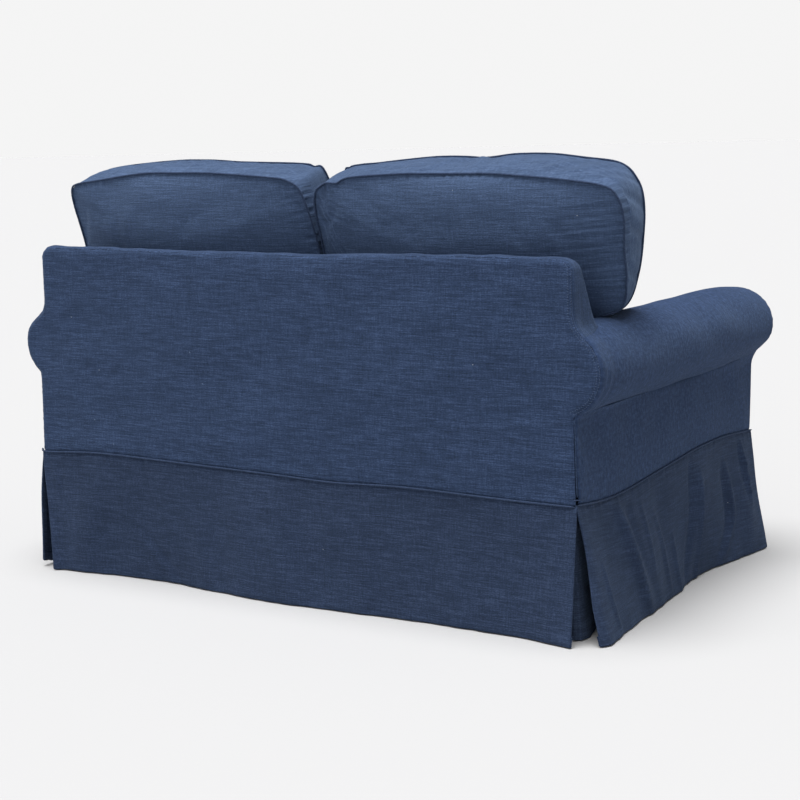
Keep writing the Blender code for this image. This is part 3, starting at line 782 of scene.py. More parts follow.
def makeInsideBack():  # the raked panel between the arms, wider above them
    clear = cover["rollRadius"] + cover["rollClear"]
    low = cover["deck"] + cover["clear"]
    levels = np.concatenate([
        np.linspace(low, cover["rollZ"], 18)[:-1],
        cover["rollZ"] + clear * np.sin(np.radians(insideBack["turns"])),
        np.linspace(rollTop + 0.008, cover["backTop"] - 0.028, 9),
        cover["backTop"] - np.array([*insideBack["belowTop"], turned]),
    ])
    share, height = np.meshgrid(np.linspace(-1, 1, 111), levels)
    reach = np.sqrt(np.maximum(clear**2 - (height - cover["rollZ"]) ** 2, 0))
    half = np.where(
        height < cover["rollZ"], cover["rollX"] - clear,
        np.where(reach > 0, cover["rollX"] - reach, backHalfWidth(height, turned, "left", 0)),
    )
    x = share * half
    up = (height - low) / (cover["backTop"] - low)
    padding = cover["padding"] * (1 - share**4) * np.sin(math.pi * ramp(up)) ** 0.8
    tall, size = insideBack["uneven"]
    padding += tall * wander(x, height, size, 31) * ramp(padding / 0.01)
    distance = edgeDistance(x, height, backOutline())
    padding -= turnIn(distance)
    z = height + topWave(x, height)
    points = pointsOf(x, rakeAt(height) - padding, z)
    flat = pointsOf(x, height * insideBack["stretch"])
    addPanel("insideBackPanel", points, flat, "inside_back")


makeInsideBack()
print("back sewn")


stitches = {  # two rows beside the back panel's side edges, down to the foot of each roll
    "insets": (0.0050, 0.0105),
    "from": 0.748,
    "to": 0.452,
    "spacing": 0.0052,
    "size": (0.0034, 0.0007, 0.0005),
    "castFrom": 0.52,  # a depth behind the panel
    "lift": 0.0002,
    "lintSize": (0.0036, 0.0022, 0.0006),
    "lint": ((0.482, 0.312), (0.541, 0.139), (0.249, 0.533), (0.220, 0.465), (0.536, 0.364)),
}


def addBits(name, bits, node, slotName):  # small straight bits of thread, each a low box
    points, faces = [], []
    box = [(a, b, c) for a in (-0.5, 0.5) for b in (-0.5, 0.5) for c in (-0.5, 0.5)]
    boxSides = ((0, 1, 3, 2), (4, 6, 7, 5), (0, 4, 5, 1), (2, 3, 7, 6), (0, 2, 6, 4), (1, 5, 7, 3))
    for place, ahead, out, size in bits:
        ahead = ahead - out * np.dot(ahead, out)
        ahead /= np.linalg.norm(ahead)
        beside = np.cross(out, ahead)
        start = len(points)
        for a, b, c in box:
            points.append(place + ahead * a * size[0] + beside * b * size[1] + out * c * size[2])
        faces.extend(tuple(start + k for k in side) for side in boxSides)
    piece = meshFrom(name, points, faces)
    layer = piece.data.uv_layers.new(name="cloth")
    corner = readWhole(piece.data.loops, "vertex_index")
    layer.data.foreach_set("uv", np.array(points)[:, (0, 2)][corner].ravel())
    finishPiece(piece, [node], slotName, threadCloth)


def makeStitches():
    panel = bpy.data.objects["outsideBackPanel"]
    tree = BVHTree.FromPolygons(
        [v.co.copy() for v in panel.data.vertices], [tuple(p.vertices) for p in panel.data.polygons]
    )
    draw = np.random.default_rng(17)
    found = []

    def lay(x, z, aheadX, aheadZ, size):
        place, normal, _, _ = tree.ray_cast(Vector((x, stitches["castFrom"], z)), Vector((0, -1, 0)))
        if place is not None:
            ahead = np.array([aheadX, 0.001, aheadZ]) + draw.normal(0, 0.06, 3)
            normal = np.array(normal)
            found.append((np.array(place) + normal * stitches["lift"], ahead, normal, size))

    for word, side in bothSides:
        for inset in stitches["insets"]:
            height = np.linspace(stitches["from"], stitches["to"], 900)
            across = backHalfWidth(height, inset, word)
            along = runningLength(pointsOf(across, height))
            marks = np.arange(0.002, along[-1], stitches["spacing"])
            x, z = np.interp(marks, along, across), np.interp(marks, along, height)
            for k in range(len(marks) - 1):
                lay(side * x[k], z[k], side * (x[k + 1] - x[k]), z[k + 1] - z[k], stitches["size"])
    for x, z in stitches["lint"]:
        lay(x, z, 1.0, draw.normal(0, 0.6), stitches["lintSize"])
    addBits("edgeStitches", found, "outside_back", "body_cloth")


# Rolled arms

rolls = {
    "step": 0.0075,
    "turnSteps": 64,
    "pucker": (0.0006, 0.016, 0.018),
    "folds": ((0.40, 0.003, 0.03), (0.10, 0.001, 0.10), (-0.28, 0.0015, 0.10)),  # y, depth, width
    "uneven": 0.0010,
    "creases": (  # path by depth and distance round the roll from its crease, height, width
        (((0.450, 0.176), (0.430, 0.172), (0.40, 0.160)), 0.0014, 0.012),
        (((0.447, 0.150), (0.440, 0.120), (0.444, 0.080)), 0.0020, 0.0045),
        (((0.438, 0.145), (0.428, 0.115), (0.437, 0.065)), -0.0022, 0.0050),
        (((0.428, 0.130), (0.415, 0.095), (0.430, 0.045)), 0.0020, 0.0055),
        (((0.414, 0.100), (0.404, 0.070), (0.420, 0.030)), -0.0016, 0.0070),
        (((0.448, 0.040), (0.42, 0.030), (0.38, 0.034)), 0.0016, 0.007),
        (((0.28, 0.060), (0.18, 0.070), (0.06, 0.052)), 0.0012, 0.018),
        (((0.02, 0.030), (-0.10, 0.040), (-0.22, 0.030)), -0.0016, 0.016),
    ),
}


def makeArm(word, side, seed):
    radius, end = cover["rollRadius"], cover["halfDepth"]
    depths = places(turned - end, end - turned, rolls["step"])
    start = meetingAt(word, depths)[2]
    share = np.linspace(0, 1, rolls["turnSteps"])[:, None]
    turns = start[None, :] * (1 - share) + math.pi * share
    widen = ramp((np.cos(turns) + 1) / 1.1)
    widen = sides["roll"] * widen**2 * (3 - 2 * widen)
    down = np.linspace(cover["rollZ"], cover["deck"] + cover["clear"], 22)[1:, None] + 0 * start
    across = np.concatenate([cover["rollX"] + widen + radius * np.cos(turns), 0 * down + innerArm])
    up = np.concatenate([cover["rollZ"] + radius * np.sin(turns), down])
    outX = np.concatenate([np.cos(turns), 0 * down - 1])
    outZ = np.concatenate([np.sin(turns), 0 * down])
    whole = radius * (math.pi + creaseTurn)
    s = np.concatenate([radius * (turns + creaseTurn), whole + cover["rollZ"] - down])
    y = depths[None, :] + 0 * s
    slack = np.sin(math.pi * ramp(s / whole))
    out = -slack * sum(depth * bell(y - place, width) for place, depth, width in rolls["folds"])
    inset = end - np.abs(y)
    shown = rolls["creases"] if side < 0 else rolls["creases"][:1] + rolls["creases"][5:]
    out += creases(y, s, shown)
    out += rollShape(word, y, np.concatenate([turns, 0 * down + math.pi]))
    out += rolls["uneven"] * wander(y, s * 1.6, 0.16, seed) * ramp(inset / 0.03)
    out += puckers(s, inset, rolls["pucker"], seed + 1)
    out -= 0.0008 * bell(s - radius * (start + creaseTurn)[None, :], 0.003) + turnIn(inset)
    x = across + outX * out
    z = up + outZ * out
    points, flat = outwards(side, x, y, z)
    v = s if side > 0 else s[:, ::-1]
    flat = pointsOf(v, flat[..., 0])
    addPanel(word + "ArmPanel", points, flat, "arm_" + word, cloth=armShadedCloth)


outsideArm = {
    "step": 0.0070,
    "fullness": 0.004,
    "uneven": 0.0009,
    "pucker": (0.0006, 0.022, 0.016),
    "slit": (0.445, 0.0095),  # height where it begins to gape, and its width at the seam
    "slitStart": 0.0015,  # how far it gapes at once
    "slitRidge": (0.0018, 0.007),  # how much its edge stands out, and how wide
    "creases": (  # path by depth and height, height, width
        (((0.455, 0.4460), (0.38, 0.4465), (0.28, 0.4480), (0.14, 0.4500)), -0.0032, 0.0034),
        (((0.455, 0.4525), (0.36, 0.4535), (0.24, 0.4540)), 0.0018, 0.0032),
        (((0.44, 0.425), (0.36, 0.405), (0.30, 0.41)), 0.0013, 0.014),
        (((0.455, 0.40), (0.43, 0.36), (0.44, 0.31)), 0.0014, 0.010),
        (((0.22, 0.42), (0.12, 0.40), (0.02, 0.42)), -0.0014, 0.018),
        (((-0.20, 0.44), (-0.30, 0.42), (-0.40, 0.435)), -0.0018, 0.014),
        (((-0.36, 0.40), (-0.40, 0.36), (-0.41, 0.30)), 0.0012, 0.016),
    ),
}


def makeOutsideArm(word, side, seed):
    end = cover["halfDepth"]
    step, tall = outsideArm["step"], 0.18
    y, up = np.meshgrid(places(turned - end, end - turned, step), places(0, tall, step) / tall)
    bottom = smoothRead(seamSide, y) + cover["clear"]
    topX, topZ, _ = meetingAt(word, y)
    z = bottom + up * (topZ - bottom)
    share = (y + end) / (2 * end)
    out = outsideArm["fullness"] * np.sin(math.pi * share) * np.sin(math.pi * up)
    inset = end - np.abs(y)
    shown = outsideArm["creases"] if side < 0 else outsideArm["creases"][4:]
    out += creases(y, z, shown)
    edge = ramp(np.minimum(z - bottom, inset) / 0.02)
    out += outsideArm["uneven"] * wander(y, z * 1.3, 0.15, seed) * edge
    out += puckers(y, z - bottom, outsideArm["pucker"], seed + 1)
    out -= seamPull(z - bottom) + 0.0008 * bell(topZ - z, 0.003)
    out -= turnIn(inset)
    low = sideAt(word, y, z)
    tall = 0.012 + 1.8 * np.maximum(topX - low, 0)
    curve = ramp(1 - (topZ - z) / tall) ** 2
    across = low + (topX - low) * curve + out
    if side < 0:  # the rear closure gapes towards the skirt
        start, opening = outsideArm["slit"]
        gape = outsideArm["slitStart"] * ramp((start - z) / 0.02)
        gape += opening * ramp((start - z) / (start - seamLevel)) ** 1.6
        tall, wide = outsideArm["slitRidge"]
        across += tall * bell(end - y - turned, wide) * ramp(gape / 0.002)
        y = y - gape * ramp((y - end + 0.03) / 0.03)
    points, flat = outwards(side, across, y, z)
    name = "outside" + word.capitalize() + "ArmPanel"
    addPanel(name, points, flat[..., ::-1], "outside_arm_" + word, cloth=armShadedCloth)


closure = {  # the folded edge beside the gape, where it ends, and the bar that stops it
    "fold": ((-0.6770, 0.4585, 0.446), (-0.6785, 0.4580, 0.420), (-0.6795, 0.4575, 0.360),
             (-0.6805, 0.4565, 0.310), (-0.6810, 0.4555, 0.292)),
    "foldRadius": 0.0013,
    "bar": ((-0.6775, 0.4640, 0.2890), (-0.6835, 0.4600, 0.2888), (-0.6865, 0.4500, 0.2875),
            (-0.6872, 0.4370, 0.2850)),
    "barRadius": 0.0011,
    "flap": ((-0.650, 0.4565), (-0.660, 0.4540), (-0.6665, 0.4490), (-0.6685, 0.438)),
    "flapHeights": (0.262, 0.452),
}


def makeClosure():  # the under-flap seen through the gape, and the gape's finish
    path = curveThrough(closure["flap"], 6)
    up = np.linspace(*closure["flapHeights"], 28)
    x, z = np.meshgrid(path[:, 0], up)
    y = np.meshgrid(path[:, 1], up)[0] + 0.0006 * wander(x, z, 0.03, 61)
    points = pointsOf(x, y, z)
    flat = pointsOf(*np.meshgrid(runningLength(path), up))
    addPanel("closureFacing", points[:, ::-1], flat[:, ::-1], "outside_arm_right")
    tubes = (("fold", "outside_back", "body_cloth"), ("bar", "welt_right", "cord_cloth"))
    for name, node, slotName in tubes:
        line = curveThrough(closure[name], 8)
        radii = cordRadii(len(line), closure[name + "Radius"], 7)
        addTube("closure" + name.capitalize(), line, radii, [node], slotName)


armFront = {
    "uneven": 0.0012,
    "fullness": 0.0022,
    "pucker": (0.0005, 0.014, 0.014),
    "allowance": 0.0019,  # radius of the seam allowance behind the panel's edge
    "allowanceDepth": 0.0036,
    "allowanceInset": 0.0010,
    "middle": 0.062,  # from the arm's inner side
    "width": 0.13,
}


def makeArmFront(word, side, seed):
    radius = cover["rollRadius"] - turned
    turns = np.radians(np.concatenate([np.linspace(-62, 60, 26), (65, 70, 74, 78, 81, 84, 86, 88)]))
    levels = np.concatenate([
        places(frontSeam + cover["clear"], rollCrease - 0.004, 0.009, True, False),
        cover["rollZ"] + radius * np.sin(turns),
    ])
    reach = np.sqrt(np.maximum(radius**2 - (levels - cover["rollZ"]) ** 2, 0))
    topX, topZ, _ = meetingAt(word, -cover["halfDepth"])
    low = sideAt(word, -cover["halfDepth"], levels)
    curve = ramp(1 - (topZ - levels) / (0.012 + 1.8 * (topX - low))) ** 2
    outer = np.where(levels < topZ, low + (topX - low) * curve - turned, rollOut + reach)
    inner = np.where(levels < cover["rollZ"], innerArm + turned, cover["rollX"] - reach)
    share = places(0, armFront["width"], 0.008) / armFront["width"]
    x = inner[:, None] + share[None, :] * (outer - inner)[:, None]
    z = np.repeat(levels[:, None], len(share), 1)
    fromX, fromZ = x - np.clip(x, cover["rollX"], rollOut), z - cover["rollZ"]
    far = np.hypot(fromX, fromZ) + 1e-6
    move = rollShape(word, -cover["halfDepth"], np.arctan2(fromZ, fromX)) * (far / radius) ** 3
    move = np.where(z > topZ, move / far, 0)
    x, z = x + fromX * move, z + fromZ * move
    arc = np.linspace(-creaseTurn, math.pi, 90)
    arcRadius = cover["rollRadius"] + rollShape(word, -cover["halfDepth"], arc)
    arcZ = cover["rollZ"] + arcRadius * np.sin(arc)
    edge = np.concatenate([
        pointsOf(low + (topX - low) * curve, levels)[levels < topZ],
        [(innerArm, h) for h in np.linspace(0.24, cover["rollZ"], 90)],
        pointsOf(rollOut + arcRadius * np.cos(arc), arcZ)[arc < 1.4],
        pointsOf(cover["rollX"] + arcRadius * np.cos(arc), arcZ)[arc > 1.5],
    ])
    distance = edgeDistance(x, z, edge)
    out = armFront["uneven"] * wander(x, z, 0.09, seed) * ramp(distance / 0.02)
    out += armFront["fullness"] * ramp(distance / 0.05) - turnIn(distance)
    out += puckers(x - z, distance, armFront["pucker"], seed + 1)
    points = pointsOf(side * x, -cover["halfDepth"] - out, z)
    rim = np.concatenate([points[:, -1], points[-1, ::-1][1:-1], points[::-1, 0]])
    points, flat = facing(points, pointsOf(side * x, z), side)
    node = "arm_front_" + word
    addPanel(word + "ArmFrontPanel", points, flat, node)
    inwards = np.array([side * (innerArm + armFront["middle"]), 0, 0]) - rim
    rim = rim + np.array([0, armFront["allowanceDepth"], 0])
    rim = rim + armFront["allowanceInset"] * inwards * (1, 0, 0) / armFront["middle"]
    radii = cordRadii(len(rim), armFront["allowance"], seed)
    addTube(word + "ArmFrontAllowance", rim, radii, [node], "body_cloth")


for word, side in bothSides:
    makeArm(word, side, 41 + side)
    makeOutsideArm(word, side, 45 + side)
    makeArmFront(word, side, 49 + side)
makeClosure()
makeStitches()
print("rolled arms sewn")


frontBand = {
    "tuckedIn": 0.0040,  # how far its ends are sewn in behind the arms' fronts, and how deep
    "tuckedDepth": 0.0066,
    "uneven": 0.0008,
    "pucker": (0.0006, 0.02, 0.014),
}


def makeDeckAndBand():  # plain cloth under the seat cushions, and the strip below their front
    half, front = innerArm - cover["clear"], -cover["halfDepth"]
    rear = float(rakeAt(cover["deck"])) - 2 * cover["clear"]
    x, y = np.meshgrid(np.linspace(-half, half, 100), places(front + turned, rear, 0.011, True, False))
    out = -0.0008 * (1 + wander(x, y, 0.11, 71)) * ramp((y - front) / 0.05)
    out -= turnIn(y - front)
    points = pointsOf(x, y, cover["deck"] + out)
    addPanel("seatDeckPanel", points, pointsOf(x, y), "seat_deck")
    under = innerArm + frontBand["tuckedIn"]
    levels = places(frontSeam + cover["clear"], cover["deck"] - turned, 0.006)
    x, z = np.meshgrid(places(-under, under, 0.009), levels)
    out = frontBand["uneven"] * wander(x, z, 0.08, 73) * np.sin(math.pi * (z - frontSeam) / 0.05) ** 2
    out += puckers(x, z - frontSeam, frontBand["pucker"], 74)
    out -= turnIn(cover["deck"] - z)
    out -= frontBand["tuckedDepth"] * ramp((np.abs(x) - innerArm + 0.0050) / 0.0090) ** 2
    points = pointsOf(x, -cover["halfDepth"] - out, z)
    addPanel("frontBandPanel", points, pointsOf(x, z), "front_band")


makeDeckAndBand()


# Skirt: hangs from the seam and stands out towards its hem, with open pleats at its corners

hemBack = (  # across, how far the hem stands out
    (0.678, 0.020), (0.649, 0.007), (0.572, -0.001), (0.466, -0.013), (0.378, -0.015),
    (0.212, 0.003), (0.052, 0.019), (-0.277, 0.008), (-0.530, 0.010), (-0.640, 0.025),
    (-0.678, 0.034),
)
hemRight = (  # depth, how far the hem stands out
    (0.4625, 0.050), (0.440, 0.061), (0.350, 0.050), (0.247, 0.041), (0.071, 0.027),
    (-0.080, 0.006), (-0.150, 0.001), (-0.233, 0.008), (-0.370, 0.030), (-0.4625, 0.0425),
)
hemLeft = (
    (0.4625, 0.018), (0.440, 0.023), (0.350, 0.028), (0.200, 0.042), (0.071, 0.034),
    (-0.080, 0.018), (-0.233, 0.026), (-0.370, 0.034), (-0.4625, 0.038),
)
hemFront = (
    (-0.678, 0.032), (-0.480, 0.012), (-0.250, 0.024), (0.000, 0.012), (0.260, 0.026),
    (0.470, 0.012), (0.678, 0.032),
)
foldsSide = (  # depth at the seam, depth at the hem, height, half width
    (0.300, 0.160, 0.010, 0.055), (0.090, 0.060, -0.007, 0.040), (-0.165, -0.075, 0.010, 0.040),
    (-0.290, -0.300, -0.006, 0.045), (-0.400, -0.385, 0.007, 0.030),
)
foldsLeft = foldsSide + ((0.470, 0.470, 0.0068, 0.060),)
foldsBack = (
    (0.520, 0.600, 0.006, 0.040), (0.100, 0.060, 0.006, 0.070), (-0.420, -0.330, -0.004, 0.060),
)
skirt = {
    "step": 0.0052,
    "foldRadius": 0.0024,
    "foldDepth": 0.014,
    "hemDepth": 0.020,
    "tall": 0.2745,
    "clear": 0.0006,  # below its seam
    "uneven": 0.0016,
    "pucker": (0.0008, 0.024, 0.022),
    "hemWaves": (0.0007, 0.05, 0.03),
    "seamPull": (0.0012, 0.0045),  # depth and width where the seam draws it in
    "hemLine": (0.0005, 0.0006, 0.0022),  # the hem's thickness, and the depth and width of its stitching
    "tucks": {"left": 0.033, "right": 0.0},  # how far the back skirt's edges draw in at the hem
    "sideInset": 0.0023,
    "drawnCorner": (0.009, 0.05),  # the right skirt's rear edge: how far it draws in, over what width
    "liftedCorner": (0.013, 0.032),  # the left skirt's rear corner: how far it lifts
    "creasesRight": (  # path by depth and height, height, width
        (((-0.380, 0.268), (-0.394, 0.198), (-0.408, 0.120)), 0.0082, 0.0062),
        (((-0.366, 0.262), (-0.378, 0.198), (-0.392, 0.120)), -0.0048, 0.0085),
        (((-0.288, 0.240), (-0.314, 0.166), (-0.315, 0.095), (-0.248, 0.010)), 0.0092, 0.0088),
        (((-0.268, 0.225), (-0.292, 0.160), (-0.292, 0.095), (-0.230, 0.020)), -0.0066, 0.0110),
        (((-0.129, 0.240), (-0.124, 0.134), (-0.114, 0.004)), 0.0112, 0.0120),
        (((-0.160, 0.215), (-0.152, 0.120), (-0.146, 0.030)), -0.0069, 0.0130),
        (((-0.090, 0.285), (-0.085, 0.153), (-0.041, 0.003)), -0.0079, 0.0130),
        (((0.300, 0.250), (0.268, 0.172), (0.196, 0.004)), 0.0125, 0.0150),
        (((0.245, 0.240), (0.225, 0.172), (0.150, 0.010)), -0.0082, 0.0180),
        (((0.115, 0.200), (0.080, 0.120), (0.060, 0.020)), 0.0066, 0.0095),
        (((0.400, 0.150), (0.390, 0.080), (0.370, 0.010)), 0.0061, 0.0070),
        (((0.020, 0.130), (0.015, 0.060), (0.000, 0.004)), 0.0059, 0.0080),
        (((0.180, 0.235), (0.160, 0.150), (0.150, 0.080)), 0.0048, 0.0080),
    ),
    "creasesLeft": (
        (((-0.350, 0.265), (-0.364, 0.178), (-0.388, 0.060)), 0.0036, 0.0100),
        (((-0.200, 0.230), (-0.214, 0.126), (-0.180, 0.010)), 0.0040, 0.0120),
        (((0.060, 0.240), (0.080, 0.134), (0.050, 0.004)), -0.0036, 0.0140),
        (((0.230, 0.230), (0.210, 0.120), (0.170, 0.004)), 0.0046, 0.0140),
        (((0.390, 0.220), (0.375, 0.110), (0.360, 0.010)), 0.0026, 0.0080),
    ),
    "creasesBack": (  # path by place across and height
        (((0.415, 0.112), (0.360, 0.068), (0.312, 0.006)), -0.0034, 0.0080),
        (((0.440, 0.108), (0.385, 0.060), (0.345, 0.006)), 0.0028, 0.0100),
        (((0.300, 0.200), (0.250, 0.110), (0.230, 0.010)), 0.0022, 0.0240),
        (((-0.560, 0.262), (-0.582, 0.241), (-0.600, 0.205)), 0.0022, 0.0060),
        (((0.640, 0.262), (0.632, 0.225), (0.636, 0.180)), -0.0022, 0.0070),
        (((0.655, 0.262), (0.650, 0.225), (0.652, 0.190)), 0.0016, 0.0060),
        (((-0.200, 0.240), (-0.230, 0.130), (-0.220, 0.010)), -0.0018, 0.0280),
        (((-0.640, 0.220), (-0.628, 0.120), (-0.622, 0.010)), 0.0024, 0.0090),
    ),
    "creasesFront": (
        (((-0.480, 0.255), (-0.500, 0.130), (-0.470, 0.006)), 0.0034, 0.0160),
        (((-0.130, 0.240), (-0.110, 0.120), (-0.140, 0.006)), -0.0030, 0.0200),
        (((0.250, 0.250), (0.270, 0.130), (0.240, 0.006)), 0.0036, 0.0160),
        (((0.520, 0.240), (0.535, 0.110), (0.560, 0.006)), 0.0028, 0.0120),
    ),
}


def halfTurn(radius):  # cloth folded back: how far in from the fold each point lies, and how far behind
    turns = np.radians((30, 60, 90, 120, 150, 180))
    return radius * (1 - np.sin(turns)), radius * (1 - np.cos(turns))


def foldedEdge(low, high, step, radius, depth):  # places across, and how far each lies behind
    bendS, bendOut = halfTurn(radius)
    middle = places(low + radius, high - radius, step)
    back = np.linspace(radius, depth, 3)[1:]
    s = np.concatenate([low + back[::-1], low + bendS[::-1], middle, high - bendS, high - back])
    behind = np.concatenate([
        np.full(2, 2 * radius), bendOut[::-1], np.zeros(len(middle)), bendOut, np.full(2, 2 * radius)
    ])
    return s, behind, runningLength(pointsOf(s, behind))


def hangSkirt(low, high, seam, hem, folds, listed, seed):
    s, sideBehind, u = foldedEdge(low, high, skirt["step"], skirt["foldRadius"], skirt["foldDepth"])
    radius = skirt["foldRadius"]
    rise = places(radius, skirt["tall"], 0.0066, False, True)
    bendZ, bendBehind = halfTurn(radius)
    z = np.concatenate([[skirt["hemDepth"], 0.010], bendZ[::-1], rise]) + cover["hem"]
    hemBehind = np.concatenate([np.full(2, 2 * radius), bendBehind[::-1], rise * 0])
    v = runningLength(pointsOf(z, hemBehind))
    place, height = np.meshgrid(s, z)
    top = (smoothRead(seam, place) if seam else np.full(place.shape, frontSeam)) - skirt["clear"]
    full = skirt["tall"] + cover["hem"]
    stretch = ramp((height - 0.05) / (full - 0.05))
    height = height + stretch * (top - full)
    down = ramp(1 - (height - cover["hem"]) / (top - cover["hem"]))
    out = smoothRead(hem, place) * down**1.15
    for atSeam, atHem, tall, wide in folds:
        crest = atSeam + (atHem - atSeam) * down
        out += tall * np.sin(math.pi * down) ** 0.8 * bell(place - crest, wide)
    out += creases(place, height, listed) * ramp((top - height) / 0.03)
    out += skirt["uneven"] * wander(place, height * 0.6, 0.13, seed) * ramp(down * 3)
    out += puckers(place, top - height, skirt["pucker"], seed + 1)
    out += puckers(place, height, skirt["hemWaves"], seed + 2)
    out -= seamPull(top - height, skirt)
    thick, sewn, width = skirt["hemLine"]
    out += thick * (height < skirt["hemDepth"]) - sewn * bell(height - skirt["hemDepth"], width)
    behind = sideBehind[None, :] + hemBehind[:, None]
    corner = (sideBehind[None, :] > radius) & (hemBehind[:, None] > radius)
    behind = np.where(corner, 2 * radius + 0.0003, behind)
    return place, height, out - behind, pointsOf(*np.meshgrid(u, v))


def makeSkirts():
    end, deep = cover["halfWidth"], cover["halfDepth"]
    place, z, out, flat = hangSkirt(-end, end, seamBack, hemBack, foldsBack, skirt["creasesBack"], 81)
    down = ramp(1 - z / seamLevel)
    reach = ramp((np.abs(place) - 0.45) / (end - 0.45)) ** 2
    for word, side in bothSides:
        wider = float(sideAt(word, deep, seamLevel)) - end - skirt["tucks"][word] * down
        place = place + side * (side * place > 0) * reach * wider
    points = pointsOf(place, deep + out, z)[:, ::-1]
    addPanel("backSkirt", points, flat, "skirt_back", "skirt_cloth")
    place, z, out, flat = hangSkirt(-end, end, None, hemFront, (), skirt["creasesFront"], 84)
    place = place * float(sideAt("right", -deep, seamLevel)) / end
    points = pointsOf(place, -deep - out, z)
    addPanel("frontSkirt", points, flat, "skirt_front", "skirt_cloth")
    for word, side, hem, folds in (("left", 1, hemLeft, foldsLeft), ("right", -1, hemRight, foldsSide)):
        listed, half = skirt["creases" + word.capitalize()], deep - skirt["sideInset"]
        place, z, out, flat = hangSkirt(-half, half, seamSide, hem, folds, listed, 87 + side)
        down = ramp(1 - z / 0.27)
        if side < 0:
            much, wide = skirt["drawnCorner"]
            place = place - much * np.sin(math.pi * ramp(down * 1.4)) * bell(place - deep, wide)
        else:
            much, wide = skirt["liftedCorner"]
            z = z + much * bell(place - deep, wide) * down**3
        points = pointsOf(side * (sideAt(word, place, seamLevel) + out), place, z)
        addPanel(word + "Skirt", points[:, ::side], flat, "skirt_" + word, "skirt_cloth")


pleat = {
    "hem": ((0.602, 0.438), (0.640, 0.444), (0.666, 0.4385), (0.672, 0.4355), (0.6745, 0.429),
            (0.676, 0.405), (0.661, 0.345)),
    "seam": ((0.602, 0.4535), (0.636, 0.4535), (0.660, 0.4530), (0.6665, 0.4510), (0.6675, 0.446),
             (0.6675, 0.430), (0.6675, 0.392)),
    "top": 0.266,
    "drawnIn": (0.022, 0.009),  # how far the left rear one's hem draws in and lifts
    "bow": 0.004,
    "dent": (0.0030, 0.058, 0.006),  # depth, place along, width
    "uneven": 0.0008,
}


def makePleat(word, side, end, seed):
    low = curveThrough(pleat["hem"], 7)
    high = curveThrough(pleat["seam"], 7)
    rise = np.linspace(0, 1, 44)
    along = runningLength(low)
    s, up = np.meshgrid(along, rise)
    tuck, lift = pleat["drawnIn"] if word == "left" and end > 0 else (0.0, 0.0)
    bow = pleat["bow"] * np.sin(math.pi * up) * np.sin(math.pi * s / along[-1])
    deep, place, width = pleat["dent"]
    bow = bow - deep * bell(s - place, width) * ramp(1.2 - up)
    x = low[:, 0] + (high[:, 0] - low[:, 0]) * up - bow
    y = low[:, 1] + (high[:, 1] - low[:, 1]) * up - bow
    z = cover["hem"] + lift * (1 - up) + (pleat["top"] - cover["hem"]) * up
    x += pleat["uneven"] * wander(s, z, 0.05, seed)
    y += pleat["uneven"] * wander(s, z, 0.05, seed + 1)
    x = x + sideAt(word, end * cover["halfDepth"], seamLevel) - cover["halfWidth"] - tuck * (1 - up)
    points, flat = facing(pointsOf(side * x, end * y, z), pointsOf(s, z), -side * end)
    where = "rear" if end > 0 else "front"
    name = where + word.capitalize() + "Pleat"
    addPanel(name, points, flat, f"pleat_insert_{where}_{word}", "skirt_cloth", pleatLitCloth)


makeSkirts()
for word, side in bothSides:
    for end in (1, -1):
        makePleat(word, side, end, 95 + 2 * side + end)
print("skirt hung")


seamCord = {
    "radius": 0.0021,
    "gap": -0.0013,
    # its sewn-over end on the back: across and up from the corner, and shares of the radius
    "knotAcross": (-0.0048, -0.0040, -0.0034, -0.0034, -0.0040, -0.0050, -0.0064),
    "knotUp": (0.0068, 0.0062, 0.0050, 0.0036, 0.0022, 0.0010, 0.0002),
    "knotRadii": (0.30, 1.00, 1.25, 1.30, 1.20, 1.10, 1.0),
    "frontEnd": 0.6795,
    "sideEnds": (-0.4655, 0.4600),
}


def makeSeamCords():
    radius = seamCord["radius"]
    out = cover["halfDepth"] + radius + seamCord["gap"]
    left, right = (float(sideAt(word, cover["halfDepth"], seamLevel)) for word, _ in bothSides)
    knot = left + np.array(seamCord["knotAcross"])
    x = np.concatenate([knot, np.linspace(left - 0.0078, 0.002 - right, 220)])
    z = smoothRead(seamBack, x)
    z[:len(knot)] += seamCord["knotUp"]
    radii = cordRadii(len(x), radius, 3)
    radii[:len(knot)] = np.array(seamCord["knotRadii"]) * radius
    line = pointsOf(x, np.full(len(x), out), z)
    addTube("backSeamCord", line, radii, ["welt_back"], "cord_cloth")
    x = np.linspace(-seamCord["frontEnd"], seamCord["frontEnd"], 220)
    line = pointsOf(x, np.full(len(x), -out), np.full(len(x), frontSeam))
    addTube("frontSeamCord", line, cordRadii(len(x), radius, 4), ["welt_front"], "cord_cloth")
    y = np.linspace(*seamCord["sideEnds"], 160)
    for word, side in bothSides:
        across = sideAt(word, y, seamLevel) + radius + seamCord["gap"]
        line = pointsOf(side * across, y, smoothRead(seamSide, y))
        radii = cordRadii(len(y), radius, 5 + side)
        addTube(word + "SeamCord", line, radii, ["welt_" + word], "cord_cloth")


makeSeamCords()
print("seam cords laid")


# Cushions

